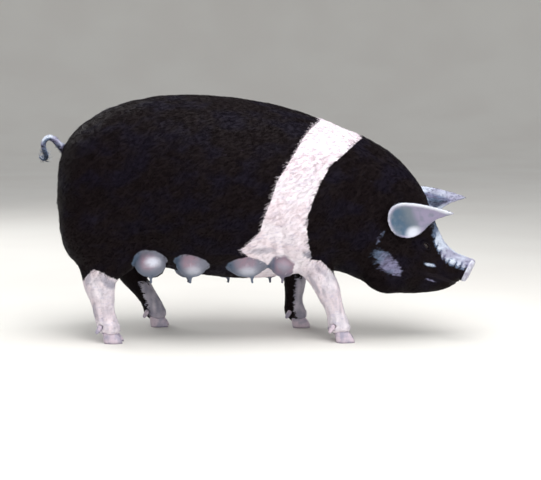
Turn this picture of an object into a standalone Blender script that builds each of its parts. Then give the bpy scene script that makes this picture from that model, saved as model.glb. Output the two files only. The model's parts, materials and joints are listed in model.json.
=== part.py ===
"""A belted sow at life size, standing in mid step: one closed solid for each named part of her body."""

import math
from typing import NamedTuple

import bmesh
import bpy
from mathutils import Matrix, Vector
from mathutils.bvhtree import BVHTree

# Sizes are in metres. +X runs towards the snout, +Y is the sow's left side and +Z is up.
# The origin lies on the ground, under the middle of the whole animal.
GAP = 0.0003  # clear space between two parts that meet
WELD = 0.000003  # points closer than this are made one after a cut
SIDES = {"left": 1, "right": -1}

# How finely the flesh is drawn, how far it is smoothed, and how far it is thinned
VOXEL = 0.0065
SMOOTH_ROUNDS = 8
BROAD_ROUNDS = 40
BROAD_ENDS = (0.60, 0.70)  # the broad smoothing fades out between these places along the head
BROAD_LOW = (0.16, 0.26)  # and between these heights on the legs
TRUNK_FACETS = 48
LIMB_FACETS = 20
RINGS_PER_SPAN = 4
FLESH_TRIANGLES = 4150

# The neck swings the head towards the sow's right as a plain arc
NECK_START = 0.30
NECK_END = 0.58
NECK_TURN = math.radians(-16)


class Section(NamedTuple):
    """A slice across the trunk: its top and low points seen from the side, and how wide it is.

    top_power and low_power say how square its upper and lower halves are: 2 is an ellipse.
    widest says how far up the slice it is widest, from 0 at its low point to 1 at its top.
    """

    top: tuple
    low: tuple
    half_width: float
    top_power: float
    low_power: float
    widest: float


# The trunk from the rump to the end of the muzzle
TRUNK = (
    Section((-0.724, 0.640), (-0.729, 0.450), 0.080, 2.0, 2.0, 0.50),  # rump
    Section((-0.700, 0.716), (-0.712, 0.340), 0.142, 2.0, 2.0, 0.50),
    Section((-0.640, 0.786), (-0.668, 0.268), 0.202, 2.1, 2.1, 0.50),  # tail head
    Section((-0.520, 0.855), (-0.530, 0.256), 0.248, 2.2, 2.2, 0.49),  # ham
    Section((-0.370, 0.890), (-0.370, 0.260), 0.272, 2.3, 2.3, 0.48),  # flank
    Section((-0.210, 0.896), (-0.200, 0.230), 0.285, 2.3, 2.3, 0.46),  # loin and belly
    Section((-0.040, 0.881), (-0.030, 0.216), 0.284, 2.3, 2.3, 0.46),
    Section((0.130, 0.845), (0.120, 0.228), 0.274, 2.3, 2.2, 0.47),  # behind the shoulder
    Section((0.280, 0.793), (0.235, 0.242), 0.258, 2.2, 2.2, 0.47),  # shoulder
    Section((0.400, 0.742), (0.310, 0.240), 0.226, 2.1, 2.2, 0.46),  # neck
    Section((0.495, 0.690), (0.385, 0.212), 0.192, 2.0, 2.2, 0.42),
    Section((0.570, 0.618), (0.455, 0.184), 0.166, 2.0, 2.3, 0.38),  # behind the ears
    Section((0.622, 0.545), (0.525, 0.166), 0.146, 2.1, 2.4, 0.36),  # poll and jowl
    Section((0.650, 0.475), (0.590, 0.163), 0.118, 2.3, 2.3, 0.38),  # brow
    Section((0.676, 0.408), (0.648, 0.168), 0.089, 2.5, 2.2, 0.45),
    Section((0.706, 0.354), (0.692, 0.176), 0.068, 2.5, 2.1, 0.50),  # dish of the face
    Section((0.744, 0.321), (0.726, 0.190), 0.055, 2.4, 2.1, 0.52),  # muzzle
    Section((0.780, 0.306), (0.752, 0.208), 0.050, 2.3, 2.0, 0.52),
    Section((0.802, 0.302), (0.762, 0.216), 0.049, 2.3, 2.0, 0.52),  # behind the disc
)


class Mass(NamedTuple):
    """A rounded mass of muscle or fat, on both sides of the body, under the skin."""

    centre: tuple
    radii: tuple
    tilt: float  # degrees about the sideways axis
    on_head: bool


MASSES = (
    Mass((-0.545, 0.134, 0.425), (0.165, 0.116, 0.200), -8, False),  # ham
    Mass((0.180, 0.150, 0.440), (0.125, 0.116, 0.190), 14, False),  # shoulder
    Mass((0.505, 0.078, 0.262), (0.116, 0.082, 0.094), 4, True),  # jowl
    Mass((0.640, 0.056, 0.388), (0.040, 0.036, 0.030), 32, True),  # brow over the eye
    Mass((0.640, 0.056, 0.284), (0.072, 0.042, 0.054), 14, True),  # cheek
)


class Joint(NamedTuple):
    """A point down the middle of a leg, and the leg's half size there from front to back and across."""

    x: float
    z: float
    half_depth: float
    half_width: float


class Leg(NamedTuple):
    """A leg: how far it stands from the midline, where its foot is, and its joints from the top down."""

    spread: float
    foot_x: float
    joints: tuple


LEGS = {
    "hind_right": Leg(
        -0.165,
        -0.514,
        (
            Joint(-0.560, 0.520, 0.130, 0.060),
            Joint(-0.545, 0.390, 0.130, 0.086),  # stifle
            Joint(-0.556, 0.285, 0.086, 0.066),
            Joint(-0.563, 0.220, 0.064, 0.047),  # hock
            Joint(-0.553, 0.155, 0.045, 0.036),
            Joint(-0.547, 0.105, 0.040, 0.034),
            Joint(-0.537, 0.070, 0.041, 0.038),  # fetlock
            Joint(-0.524, 0.046, 0.038, 0.039),
            Joint(-0.517, 0.026, 0.030, 0.034),
        ),
    ),
    "hind_left": Leg(
        0.165,
        -0.372,
        (
            Joint(-0.545, 0.520, 0.130, 0.060),
            Joint(-0.500, 0.390, 0.130, 0.086),
            Joint(-0.486, 0.285, 0.086, 0.066),
            Joint(-0.484, 0.216, 0.056, 0.045),
            Joint(-0.442, 0.152, 0.041, 0.034),
            Joint(-0.411, 0.104, 0.037, 0.032),
            Joint(-0.396, 0.070, 0.041, 0.038),
            Joint(-0.382, 0.046, 0.038, 0.039),
            Joint(-0.375, 0.026, 0.030, 0.034),
        ),
    ),
    "fore_right": Leg(
        -0.150,
        0.330,
        (
            Joint(0.170, 0.460, 0.110, 0.080),
            Joint(0.178, 0.345, 0.090, 0.074),  # elbow
            Joint(0.228, 0.262, 0.056, 0.052),
            Joint(0.260, 0.205, 0.049, 0.043),
            Joint(0.274, 0.172, 0.045, 0.041),  # knee
            Joint(0.292, 0.118, 0.035, 0.032),
            Joint(0.303, 0.074, 0.040, 0.038),  # fetlock
            Joint(0.317, 0.047, 0.038, 0.039),
            Joint(0.325, 0.026, 0.030, 0.034),
        ),
    ),
    "fore_left": Leg(
        0.150,
        0.176,
        (
            Joint(0.165, 0.460, 0.110, 0.080),
            Joint(0.150, 0.345, 0.092, 0.074),
            Joint(0.146, 0.262, 0.062, 0.054),
            Joint(0.149, 0.205, 0.047, 0.042),
            Joint(0.151, 0.172, 0.044, 0.041),
            Joint(0.147, 0.118, 0.035, 0.032),
            Joint(0.147, 0.074, 0.040, 0.038),
            Joint(0.162, 0.047, 0.038, 0.039),
            Joint(0.170, 0.026, 0.030, 0.034),
        ),
    ),
}

# Cloven hooves: two claws that carry the weight and two dewclaws behind them
CLAW_LENGTH = 0.072
CLAW_WIDTH = 0.036
CLAW_HEIGHT = 0.046
CLAW_CLEFT = 0.004
CLAW_SPLAY = math.radians(5)
CLAW_TOP_SHARE = 0.62  # length and width at the coronet as a share of the sole's
CLAW_TOE_SLOPE = 0.016  # how far the coronet lies behind the sole's middle
DEWCLAW_LENGTH = 0.036
DEWCLAW_RADIUS = 0.0115
DEWCLAW_BACK = 0.042
DEWCLAW_HEIGHT = 0.066
DEWCLAW_SPREAD = 0.026

class Gland(NamedTuple):
    """A mammary gland: its middle and its teat along the body, and its half length."""

    x: float
    teat_x: float
    half_length: float


# The two rows of glands don't pair up
GLAND_ROWS = {
    "right": (
        Gland(-0.378, -0.376, 0.058),
        Gland(-0.228, -0.234, 0.060),
        Gland(-0.030, -0.010, 0.070),
        Gland(0.104, 0.098, 0.052),
    ),
    "left": (
        Gland(-0.400, -0.400, 0.056),
        Gland(-0.262, -0.262, 0.058),
        Gland(-0.112, -0.108, 0.060),
        Gland(0.050, 0.054, 0.058),
    ),
}
GLAND_HALF_SIZE = (0.048, 0.051)  # across and up
GLAND_Y = {"right": 0.178, "left": 0.150}
GLAND_Z = {"right": 0.292, "left": 0.240}
GLAND_FACETS = 14
TEAT_LENGTH = 0.032
TEAT_RADIUS = 0.0092

# The tail rises from the rump, arches back and hooks outwards at its tip
TAIL_PATH = (
    (-0.668, 0.000, 0.652),
    (-0.716, -0.002, 0.700),
    (-0.744, -0.010, 0.732),
    (-0.768, -0.020, 0.736),
    (-0.781, -0.024, 0.712),
    (-0.775, -0.016, 0.684),
    (-0.774, -0.004, 0.664),
    (-0.786, 0.004, 0.656),
    (-0.800, 0.002, 0.668),
)
TAIL_ROOT_RADIUS = 0.021
TAIL_TIP_RADIUS = 0.0065

# The snout's disc, with its two nostrils
DISC_TOP = (0.812, 0.297)
DISC_LOW = (0.774, 0.216)
DISC_HALF_WIDTH = 0.050
DISC_THICKNESS = 0.020
DISC_POWER = 2.4
NOSTRIL_SPREAD = 0.0205
NOSTRIL_RADII = (0.014, 0.0078, 0.0100)

# Eyes and their lids
EYE_RADIUS = 0.0130
EYE_X = 0.654
EYE_Z = 0.352
EYE_SINK = 0.0085
LID_HALF_LENGTH = 0.0180
LID_HALF_HEIGHT = 0.0105
LID_RADIUS = 0.0052
LID_SINK = 0.0012

# The line of the mouth, from its corner to the middle of the lips, seen from the side
MOUTH_LINE = ((0.662, 0.248), (0.690, 0.238), (0.720, 0.226), (0.745, 0.214), (0.763, 0.206))
MOUTH_GROOVE = 0.0032

# Each ear is a bowl that opens outwards and forwards, drawn out to a tip along its upper rim.
# The rim is listed for the left ear, from the tip over the top, down the back and along below.
EAR_HEART = (0.590, 0.135, 0.430)  # the bottom of the bowl
EAR_FACING = (0.46, 0.84, -0.22)
EAR_RIM = (
    (0.762, 0.152, 0.478),
    (0.714, 0.158, 0.494),
    (0.662, 0.164, 0.506),
    (0.616, 0.172, 0.513),
    (0.576, 0.182, 0.514),
    (0.540, 0.191, 0.502),
    (0.520, 0.194, 0.472),
    (0.525, 0.189, 0.434),
    (0.552, 0.174, 0.399),
    (0.600, 0.152, 0.387),
    (0.637, 0.133, 0.400),
    (0.667, 0.124, 0.430),
    (0.702, 0.136, 0.456),
)
EAR_SHARES = (0.16, 0.40, 0.66, 0.88, 1.0)  # the bowl's rings, from its heart to its rim
EAR_BOWL = 1.35  # 1 is a cone, and more is a rounder bowl
EAR_THICKNESS = 0.0055
EAR_BACKS = 3  # how many of the rings have a back to them, counted from the rim
EAR_LIFT = {"left": 0.030, "right": 0.0}  # how much higher the ear stands than listed


class EarStem(NamedTuple):
    """A ring of the ear's fleshy base, which narrows with the bowl where that is small."""

    centre: tuple
    radius: float
    most: float  # the largest share of the bowl's own size that it reaches


EAR_STEM = (
    EarStem((0.583, 0.096, 0.446), 0.056, 0.86),
    EarStem((0.592, 0.030, 0.452), 0.060, 1.2),
)

# Where the flesh is parted: a top and a low point of each cut, seen from the side.
# The shoulders hold the white belt, so their two cuts follow its edges.
BELT_REAR_CUT = ((0.225, 0.810), (-0.055, 0.240))
BELT_FRONT_CUT = ((0.392, 0.770), (0.150, 0.200))
HEAD_CUT = ((0.592, 0.620), (0.452, 0.150))
UDDER_TOP = 0.342
UDDER_ENDS = (-0.462, 0.155)
FAR = 2.0  # large enough to reach past the animal on every side


class Region(NamedTuple):
    """A bullet shape that holds one leg: its middle on the ground, half sizes and domed top.

    lean says how far its middle moves along the body for each metre that it rises.
    """

    centre: tuple
    radii: tuple
    shoulder: float
    top: float
    lean: float


LEG_REGIONS = {
    "hind_right": Region((-0.510, -0.165), (0.122, 0.118), 0.20, 0.335, -0.24),
    "hind_left": Region((-0.378, 0.165), (0.122, 0.118), 0.20, 0.335, -0.42),
    "fore_right": Region((0.332, -0.155), (0.100, 0.105), 0.20, 0.345, -0.50),
    "fore_left": Region((0.178, 0.155), (0.086, 0.105), 0.20, 0.345, -0.10),
}

# The colour of each node, as sRGB, with how rough and how shiny it is
BLACK_HIDE = ("#1d1518", 0.55)
WHITE_HIDE = ("#d9ced4", 0.70)
UDDER_HIDE = ("#5f5159", 0.60)
EAR_HIDE = ("#8d8b9b", 0.60)
SNOUT_HIDE = ("#b3a9bb", 0.50)
TAIL_HIDE = ("#6f6f7a", 0.65)
HORN = ("#b5a4ac", 0.45)
EYE_GLASS = ("#0b0708", 0.08)
FINISHES = {
    "torso": BLACK_HIDE,
    "shoulders": WHITE_HIDE,
    "neck": BLACK_HIDE,
    "head": BLACK_HIDE,
    "udder": UDDER_HIDE,
    "snout": SNOUT_HIDE,
    "tail": TAIL_HIDE,
    "leg": WHITE_HIDE,
    "ear": EAR_HIDE,
    "eye": EYE_GLASS,
    "hoof": HORN,
    "dewclaw": HORN,
}


def clear_scene():
    """Removes every object that the scene starts with."""
    for obj in list(bpy.data.objects):
        bpy.data.objects.remove(obj)


def new_collection(name, hidden=False):
    """Makes a collection under the scene's own."""
    made = bpy.data.collections.new(name)
    made.hide_render = hidden
    bpy.context.scene.collection.children.link(made)
    return made


def object_from(bm, name, collection):
    """Turns a bmesh into an object in the given collection, with its faces outwards."""
    bmesh.ops.recalc_face_normals(bm, faces=bm.faces)
    if bm.calc_volume(signed=True) < 0:
        bmesh.ops.reverse_faces(bm, faces=bm.faces)
    mesh = bpy.data.meshes.new(name)
    bm.to_mesh(mesh)
    bm.free()
    obj = bpy.data.objects.new(name, mesh)
    collection.objects.link(obj)
    return obj


def turned(point):
    """Carries a point of the straight animal sideways with the turn of her neck."""
    x, y, z = point
    span = NECK_END - NECK_START
    run = min(max(x - NECK_START, 0.0), span)
    beyond = x - NECK_START - run
    angle = NECK_TURN * run / span
    radius = span / NECK_TURN
    along = NECK_START + radius * math.sin(angle) + beyond * math.cos(angle)
    across = radius * (1 - math.cos(angle)) + beyond * math.sin(angle)
    return Vector((along - y * math.sin(angle), across + y * math.cos(angle), z))


def spline(values, per_span):
    """Reads a smooth curve through rows of numbers, with per_span steps between each pair."""
    rows = [list(row) for row in values]
    ends = [rows[0]] + rows + [rows[-1]]
    read = []
    for i in range(1, len(ends) - 2):
        a, b, c, d = ends[i - 1 : i + 3]
        for step in range(per_span):
            t = step / per_span
            read.append(
                [
                    0.5
                    * (
                        2 * q
                        + (r - p) * t
                        + (2 * p - 5 * q + 4 * r - s) * t**2
                        + (3 * q - p - 3 * r + s) * t**3
                    )
                    for p, q, r, s in zip(a, b, c, d)
                ]
            )
    return read + [rows[-1]]


def loft(rings, name, collection):
    """Skins a closed solid over rings of points, with a point in the middle of each end."""
    bm = bmesh.new()
    loops = [[bm.verts.new(point) for point in ring] for ring in rings]
    count = len(rings[0])
    for one, two in zip(loops, loops[1:]):
        for i in range(count):
            bm.faces.new((one[i], one[(i + 1) % count], two[(i + 1) % count], two[i]))
    for ring, loop in ((rings[0], loops[0]), (rings[-1], loops[-1])):
        middle = bm.verts.new(sum((Vector(p) for p in ring), Vector()) / count)
        for i in range(count):
            bm.faces.new((loop[i], loop[(i + 1) % count], middle))
    return object_from(bm, name, collection)


def squared(value, power):
    """A sine or cosine bent so that the round section it draws becomes squarer."""
    return math.copysign(abs(value) ** (2 / power), value)


def section_ring(numbers):
    """The ring of points of one trunk slice, from the numbers of a Section."""
    top_x, top_z, low_x, low_z, half_width, top_power, low_power, widest = numbers
    top, low = Vector((top_x, 0, top_z)), Vector((low_x, 0, low_z))
    middle = low.lerp(top, widest)
    ring = []
    for i in range(TRUNK_FACETS):
        angle = 2 * math.pi * i / TRUNK_FACETS
        upper = math.sin(angle) >= 0
        power = top_power if upper else low_power
        reach = (top - middle) if upper else (middle - low)
        point = middle + reach * squared(math.sin(angle), power)
        ring.append(turned(point + Vector((0, half_width * squared(math.cos(angle), power), 0))))
    return ring


def build_trunk(collection):
    """The torso, neck and head as one smooth tapering form."""
    rows = [(*s.top, *s.low, s.half_width, s.top_power, s.low_power, s.widest) for s in TRUNK]
    return loft([section_ring(row) for row in spline(rows, RINGS_PER_SPAN)], "trunk", collection)


def ellipsoid(centre, radii, tilt, name, collection, segments=32):
    """A solid ellipsoid, tilted about the sideways axis by some degrees."""
    bm = bmesh.new()
    bmesh.ops.create_uvsphere(bm, u_segments=segments, v_segments=segments // 2, radius=1)
    place = (
        Matrix.Translation(centre)
        @ Matrix.Rotation(math.radians(tilt), 4, "Y")
        @ Matrix.Diagonal((*radii, 1))
    )
    bmesh.ops.transform(bm, matrix=place, verts=bm.verts)
    return object_from(bm, name, collection)


def turn_object(obj):
    """Swings an object's points with the neck."""
    for vertex in obj.data.vertices:
        vertex.co = turned(vertex.co)
    return obj


def build_masses(collection):
    """The hams, shoulders, jowls, brows and cheeks."""
    for mass in MASSES:
        for side in SIDES.values():
            x, y, z = mass.centre
            made = ellipsoid((x, side * y, z), mass.radii, mass.tilt, "mass", collection)
            if mass.on_head:
                turn_object(made)


def build_limb(leg, name, collection):
    """A leg as a tapering tube whose rings lie square to its middle line."""
    rows = spline([tuple(joint) for joint in leg.joints], RINGS_PER_SPAN)
    rings = []
    for i, (x, z, half_depth, half_width) in enumerate(rows):
        before, after = rows[max(i - 1, 0)], rows[min(i + 1, len(rows) - 1)]
        along = Vector((after[0] - before[0], 0, after[1] - before[1])).normalized()
        fore = Vector((-along.z, 0, along.x))
        ring = []
        for k in range(LIMB_FACETS):
            angle = 2 * math.pi * k / LIMB_FACETS
            offset = fore * half_depth * math.cos(angle)
            ring.append(
                Vector((x, leg.spread, z)) + offset + Vector((0, half_width * math.sin(angle), 0))
            )
        rings.append(ring)
    return loft(rings, name, collection)


def modified(obj, kind, **settings):
    """Applies one modifier to an object's mesh."""
    modifier = obj.modifiers.new(kind.title(), kind)
    for key, value in settings.items():
        setattr(modifier, key, value)
    graph = bpy.context.evaluated_depsgraph_get()
    old = obj.data
    obj.data = bpy.data.meshes.new_from_object(obj.evaluated_get(graph))
    obj.modifiers.clear()
    bpy.data.meshes.remove(old)
    return obj


def joined(objects, name, collection):
    """Puts the meshes of several objects into one object and removes them."""
    bm = bmesh.new()
    for obj in objects:
        bm.from_mesh(obj.data)
        bpy.data.objects.remove(obj)
    return object_from(bm, name, collection)


def fade(value, ends):
    """Rises smoothly from 0 to 1 between two values."""
    t = min(max((value - ends[0]) / (ends[1] - ends[0]), 0.0), 1.0)
    return t * t * (3 - 2 * t)


def build_flesh(collection):
    """All of the flesh as one closed skin: the forms above, blended and then thinned.

    All but the muzzle and feet is smoothed again, so that its masses show as broad swellings.
    """
    forms = new_collection("forms", hidden=True)
    build_trunk(forms)
    build_masses(forms)
    for name, leg in LEGS.items():
        build_limb(leg, name, forms)
    flesh = joined(list(forms.objects), "flesh", collection)
    bpy.data.collections.remove(forms)
    modified(flesh, "REMESH", mode="VOXEL", voxel_size=VOXEL)
    modified(flesh, "SMOOTH", iterations=SMOOTH_ROUNDS, factor=0.5)
    broad = flesh.vertex_groups.new(name="broad")
    for vertex in flesh.data.vertices:
        weight = 1 - fade(vertex.co.x, BROAD_ENDS)
        if vertex.co.x < NECK_START:
            weight = fade(vertex.co.z, BROAD_LOW)
        broad.add([vertex.index], weight, "REPLACE")
    modified(flesh, "SMOOTH", iterations=BROAD_ROUNDS, factor=0.5, vertex_group=broad.name)
    flesh.vertex_groups.clear()
    triangles = sum(len(p.vertices) - 2 for p in flesh.data.polygons)
    return modified(
        flesh, "DECIMATE", ratio=FLESH_TRIANGLES / triangles, use_collapse_triangulate=True
    )


def copied(obj, name, collection):
    """A copy of an object with its own mesh."""
    made = bpy.data.objects.new(name, obj.data.copy())
    collection.objects.link(made)
    return made


def boolean(obj, other, operation):
    """Cuts, meets or joins an object with another, which is then removed."""
    modified(obj, "BOOLEAN", object=other, operation=operation, solver="EXACT")
    bpy.data.objects.remove(other)
    return keep_largest(obj)


def keep_largest(obj):
    """Leaves only the closed surface with the most volume, as triangles with no slivers."""
    bm = bmesh.new()
    bm.from_mesh(obj.data)
    bmesh.ops.remove_doubles(bm, verts=bm.verts, dist=WELD)
    bmesh.ops.dissolve_degenerate(bm, edges=bm.edges, dist=WELD)
    bmesh.ops.triangulate(bm, faces=bm.faces)
    left = set(bm.verts)
    shells = []
    while left:
        shell, edge = set(), [left.pop()]
        while edge:
            vertex = edge.pop()
            shell.add(vertex)
            near = {e.other_vert(vertex) for e in vertex.link_edges} & left
            left -= near
            edge.extend(near)
        faces = {face for vertex in shell for face in vertex.link_faces}
        corners = [[v.co for v in face.verts] for face in faces]
        shells.append((sum(a.dot(b.cross(c)) for a, b, c in corners), list(shell)))
    shells.sort(key=lambda found: found[0])
    for _, shell in shells[:-1]:
        bmesh.ops.delete(bm, geom=shell, context="VERTS")
    bm.to_mesh(obj.data)
    bm.free()
    return obj


def swollen(obj, collection):
    """A copy of an object grown by the gap that touching parts keep."""
    return modified(copied(obj, "swollen", collection), "DISPLACE", strength=GAP, mid_level=0.0)


def bullet(region, grow, collection):
    """A leaning round column with a domed top, which holds one leg."""
    bm = bmesh.new()
    bmesh.ops.create_uvsphere(bm, u_segments=20, v_segments=12, radius=1)
    for vertex in bm.verts:
        if vertex.co.z < -1e-4:
            flat = Vector((vertex.co.x, vertex.co.y, 0))
            if flat.length > 1e-4:
                flat.normalize()
            vertex.co = Vector((flat.x, flat.y, vertex.co.z))
    for vertex in bm.verts:
        x, y, z = vertex.co
        dome = region.top - region.shoulder + grow if z > 0 else region.shoulder + 0.1
        height = region.shoulder + z * dome
        vertex.co = (
            region.centre[0] + x * (region.radii[0] + grow) + region.lean * height,
            region.centre[1] + y * (region.radii[1] + grow),
            height,
        )
    return object_from(bm, "bullet", collection)


def block(low, high, name, collection):
    """A box between two corners."""
    bm = bmesh.new()
    bmesh.ops.create_cube(bm, size=1)
    low, high = Vector(low), Vector(high)
    place = Matrix.Translation((low + high) / 2) @ Matrix.Diagonal((*(high - low), 1))
    bmesh.ops.transform(bm, matrix=place, verts=bm.verts)
    return object_from(bm, name, collection)


def beyond_cut(cut, ahead, collection):
    """A great block on one side of a cut through the trunk, half a gap away from it."""
    top, low = Vector((cut[0][0], 0, cut[0][1])), Vector((cut[1][0], 0, cut[1][1]))
    middle = (top + low) / 2
    sideways = (turned(middle + Vector((0, 0.01, 0))) - turned(middle)).normalized()
    square = Matrix.Rotation(math.atan2(-sideways.x, sideways.y), 4, "Z")
    upright = (top - low).normalized()
    lean = Matrix.Rotation(math.atan2(upright.x, upright.z), 4, "Y")
    near, far = (GAP / 2, FAR) if ahead else (-FAR, -GAP / 2)
    made = block((near, -FAR, -FAR), (far, FAR, FAR), "side", collection)
    made.data.transform(Matrix.Translation(turned(middle)) @ square @ lean)
    return made


def part_flesh(flesh, collection):
    """Divides the flesh into named parts from leg to head, with a thin gap at every cut."""
    for name, region in LEG_REGIONS.items():
        leg = copied(flesh, f"leg_{name}", collection)
        boolean(leg, bullet(region, 0, collection), "INTERSECT")
    for region in LEG_REGIONS.values():
        boolean(flesh, bullet(region, GAP, collection), "DIFFERENCE")
    rear, front = UDDER_ENDS
    udder = copied(flesh, "udder", collection)
    low, high = (rear, -FAR, -FAR), (front, FAR, UDDER_TOP)
    boolean(udder, block(low, high, "slab", collection), "INTERSECT")
    low, high = (rear - GAP, -FAR, -FAR), (front + GAP, FAR, UDDER_TOP + GAP)
    boolean(flesh, block(low, high, "slab", collection), "DIFFERENCE")
    rest = flesh
    for name, cut in (("head", HEAD_CUT), ("neck", BELT_FRONT_CUT), ("shoulders", BELT_REAR_CUT)):
        ahead = copied(rest, name, collection)
        boolean(ahead, beyond_cut(cut, True, collection), "INTERSECT")
        boolean(rest, beyond_cut(cut, False, collection), "INTERSECT")
    rest.name = "torso"
    parts = ("torso", "udder", "neck", "head")
    return (bpy.data.objects[name] for name in parts)


def cone(centre, along, radii, length, name, collection):
    """A blunt cone from a point along a direction, with a rounded end."""
    rings = []
    along = Vector(along).normalized()
    across = along.cross(Vector((1, 0, 0))).normalized()
    over = along.cross(across)
    profile = ((0.0, 0.0), (0.5, 0.55), (0.82, 0.85), (0.96, 1.0))
    for reach, taper in profile:
        radius = radii[0] + (radii[1] - radii[0]) * taper
        if reach > 0.9:
            radius *= 0.55
        middle = Vector(centre) + along * length * reach
        rings.append(
            [
                middle + radius * (across * math.cos(a) + over * math.sin(a))
                for a in (2 * math.pi * k / 8 for k in range(8))
            ]
        )
    return loft(rings, name, collection)


def add_glands(flesh, collection):
    """Joins the round glands of the udder to the sides of the belly."""
    glands = []
    for row, places in GLAND_ROWS.items():
        for gland in places:
            centre = (gland.x, SIDES[row] * GLAND_Y[row], GLAND_Z[row])
            radii = (gland.half_length, *GLAND_HALF_SIZE)
            glands.append(ellipsoid(centre, radii, 0, "gland", collection, GLAND_FACETS))
    boolean(flesh, joined(glands, "glands", collection), "UNION")


def add_teats(udder, collection):
    """Joins a teat to the low side of each gland."""
    teats = []
    for row, places in GLAND_ROWS.items():
        side = SIDES[row]
        for gland in places:
            low = GLAND_Z[row] - GLAND_HALF_SIZE[1]
            root = (gland.teat_x, side * (GLAND_Y[row] + 0.006), low + 0.009)
            along = (0.05, side * 0.22, -1)
            radii = (TEAT_RADIUS, TEAT_RADIUS * 0.6)
            teats.append(cone(root, along, radii, TEAT_LENGTH, "teat", collection))
    boolean(udder, joined(teats, "teats", collection), "UNION")


def build_tail(torso, collection):
    """The tail, a tapering tube along its path, cut to meet the rump."""
    path = [Vector(row) for row in spline(TAIL_PATH, 2)]
    rings = []
    for i, point in enumerate(path):
        share = i / (len(path) - 1)
        along = (path[min(i + 1, len(path) - 1)] - path[max(i - 1, 0)]).normalized()
        across = along.cross(Vector((0, 1, 0.2))).normalized()
        over = along.cross(across)
        radius = TAIL_ROOT_RADIUS + (TAIL_TIP_RADIUS - TAIL_ROOT_RADIUS) * share**0.7
        rings.append(
            [
                point + radius * (across * math.cos(a) + over * math.sin(a))
                for a in (2 * math.pi * k / 10 for k in range(10))
            ]
        )
    tail = loft(rings, "tail", collection)
    return boolean(tail, swollen(torso, collection), "DIFFERENCE")


def claw_ring(share, height, push, count=14):
    """A drop-shaped outline, pointed at the toe: one level of a claw."""
    ring = []
    for i in range(count):
        angle = 2 * math.pi * i / count
        along = math.cos(angle) * CLAW_LENGTH / 2 * share
        pinch = 1 - 0.42 * math.cos(angle)
        across = math.sin(angle) * CLAW_WIDTH / 2 * share * pinch
        ring.append(Vector((along - push, across, height)))
    return ring


def build_claws(name, leg, collection):
    """The two claws and two dewclaws of one foot."""
    leg_object = bpy.data.objects[f"leg_{name}"]
    inwards = -math.copysign(1, leg.spread)
    for place, way in (("inner", inwards), ("outer", -inwards)):
        rings = [
            claw_ring(0.94, 0.0, 0.0),
            claw_ring(1.0, 0.008, 0.001),
            claw_ring(0.84, CLAW_HEIGHT * 0.60, CLAW_TOE_SLOPE * 0.55),
            claw_ring(CLAW_TOP_SHARE, CLAW_HEIGHT * 0.95, CLAW_TOE_SLOPE),
            claw_ring(CLAW_TOP_SHARE * 0.7, CLAW_HEIGHT * 1.12, CLAW_TOE_SLOPE * 1.1),
        ]
        claw = loft(rings, f"hoof_{name}_{place}", collection)
        offset = way * (CLAW_WIDTH + CLAW_CLEFT) / 2
        place_claw = Matrix.Translation((leg.foot_x, leg.spread + offset, 0)) @ Matrix.Rotation(
            way * CLAW_SPLAY, 4, "Z"
        )
        claw.data.transform(place_claw)
        dewclaw = cone(
            (leg.foot_x - DEWCLAW_BACK, leg.spread + way * DEWCLAW_SPREAD, DEWCLAW_HEIGHT),
            (-0.52, way * 0.28, -0.78),
            (DEWCLAW_RADIUS, DEWCLAW_RADIUS * 0.62),
            DEWCLAW_LENGTH,
            f"dewclaw_{name}_{place}",
            collection,
        )
        for piece in (claw, dewclaw):
            boolean(leg_object, swollen(piece, collection), "DIFFERENCE")


def build_snout(head, collection):
    """The flat disc at the end of the muzzle, with its nostrils."""
    top, low = Vector((DISC_TOP[0], 0, DISC_TOP[1])), Vector((DISC_LOW[0], 0, DISC_LOW[1]))
    middle, up = (top + low) / 2, (top - low).normalized()
    out = Vector((up.z, 0, -up.x))
    half_height = (top - low).length / 2
    profile = ((-1.0, 0.80), (-0.62, 0.93), (-0.15, 1.0), (0.22, 0.99), (0.42, 0.93), (0.5, 0.80))
    rings = []
    for reach, share in profile:
        ring = []
        for i in range(28):
            angle = 2 * math.pi * i / 28
            across = DISC_HALF_WIDTH * share * squared(math.cos(angle), DISC_POWER)
            rise = half_height * share * squared(math.sin(angle), DISC_POWER)
            point = middle + out * (reach * DISC_THICKNESS) + up * rise
            ring.append(turned(point + Vector((0, across, 0))))
        rings.append(ring)
    snout = loft(rings, "snout", collection)
    for side in SIDES.values():
        centre = middle + out * DISC_THICKNESS * 0.5 + Vector((0, side * NOSTRIL_SPREAD, 0))
        nostril = ellipsoid(
            centre, NOSTRIL_RADII, math.degrees(math.atan2(-out.z, out.x)), "nostril", collection, 16
        )
        boolean(snout, turn_object(nostril), "DIFFERENCE")
    boolean(head, swollen(snout, collection), "DIFFERENCE")
    return snout


def on_surface(tree, x, z, side):
    """The point of the head's side at a place seen from the side, and the way it faces."""
    start = turned((x, side * 0.5, z))
    aim = turned((x, 0, z)) - start
    found, normal, _, _ = tree.ray_cast(start, aim.normalized())
    return found, normal


def tree_of(obj):
    """A search tree of an object's surface."""
    return BVHTree.FromObject(obj, bpy.context.evaluated_depsgraph_get())


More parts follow.
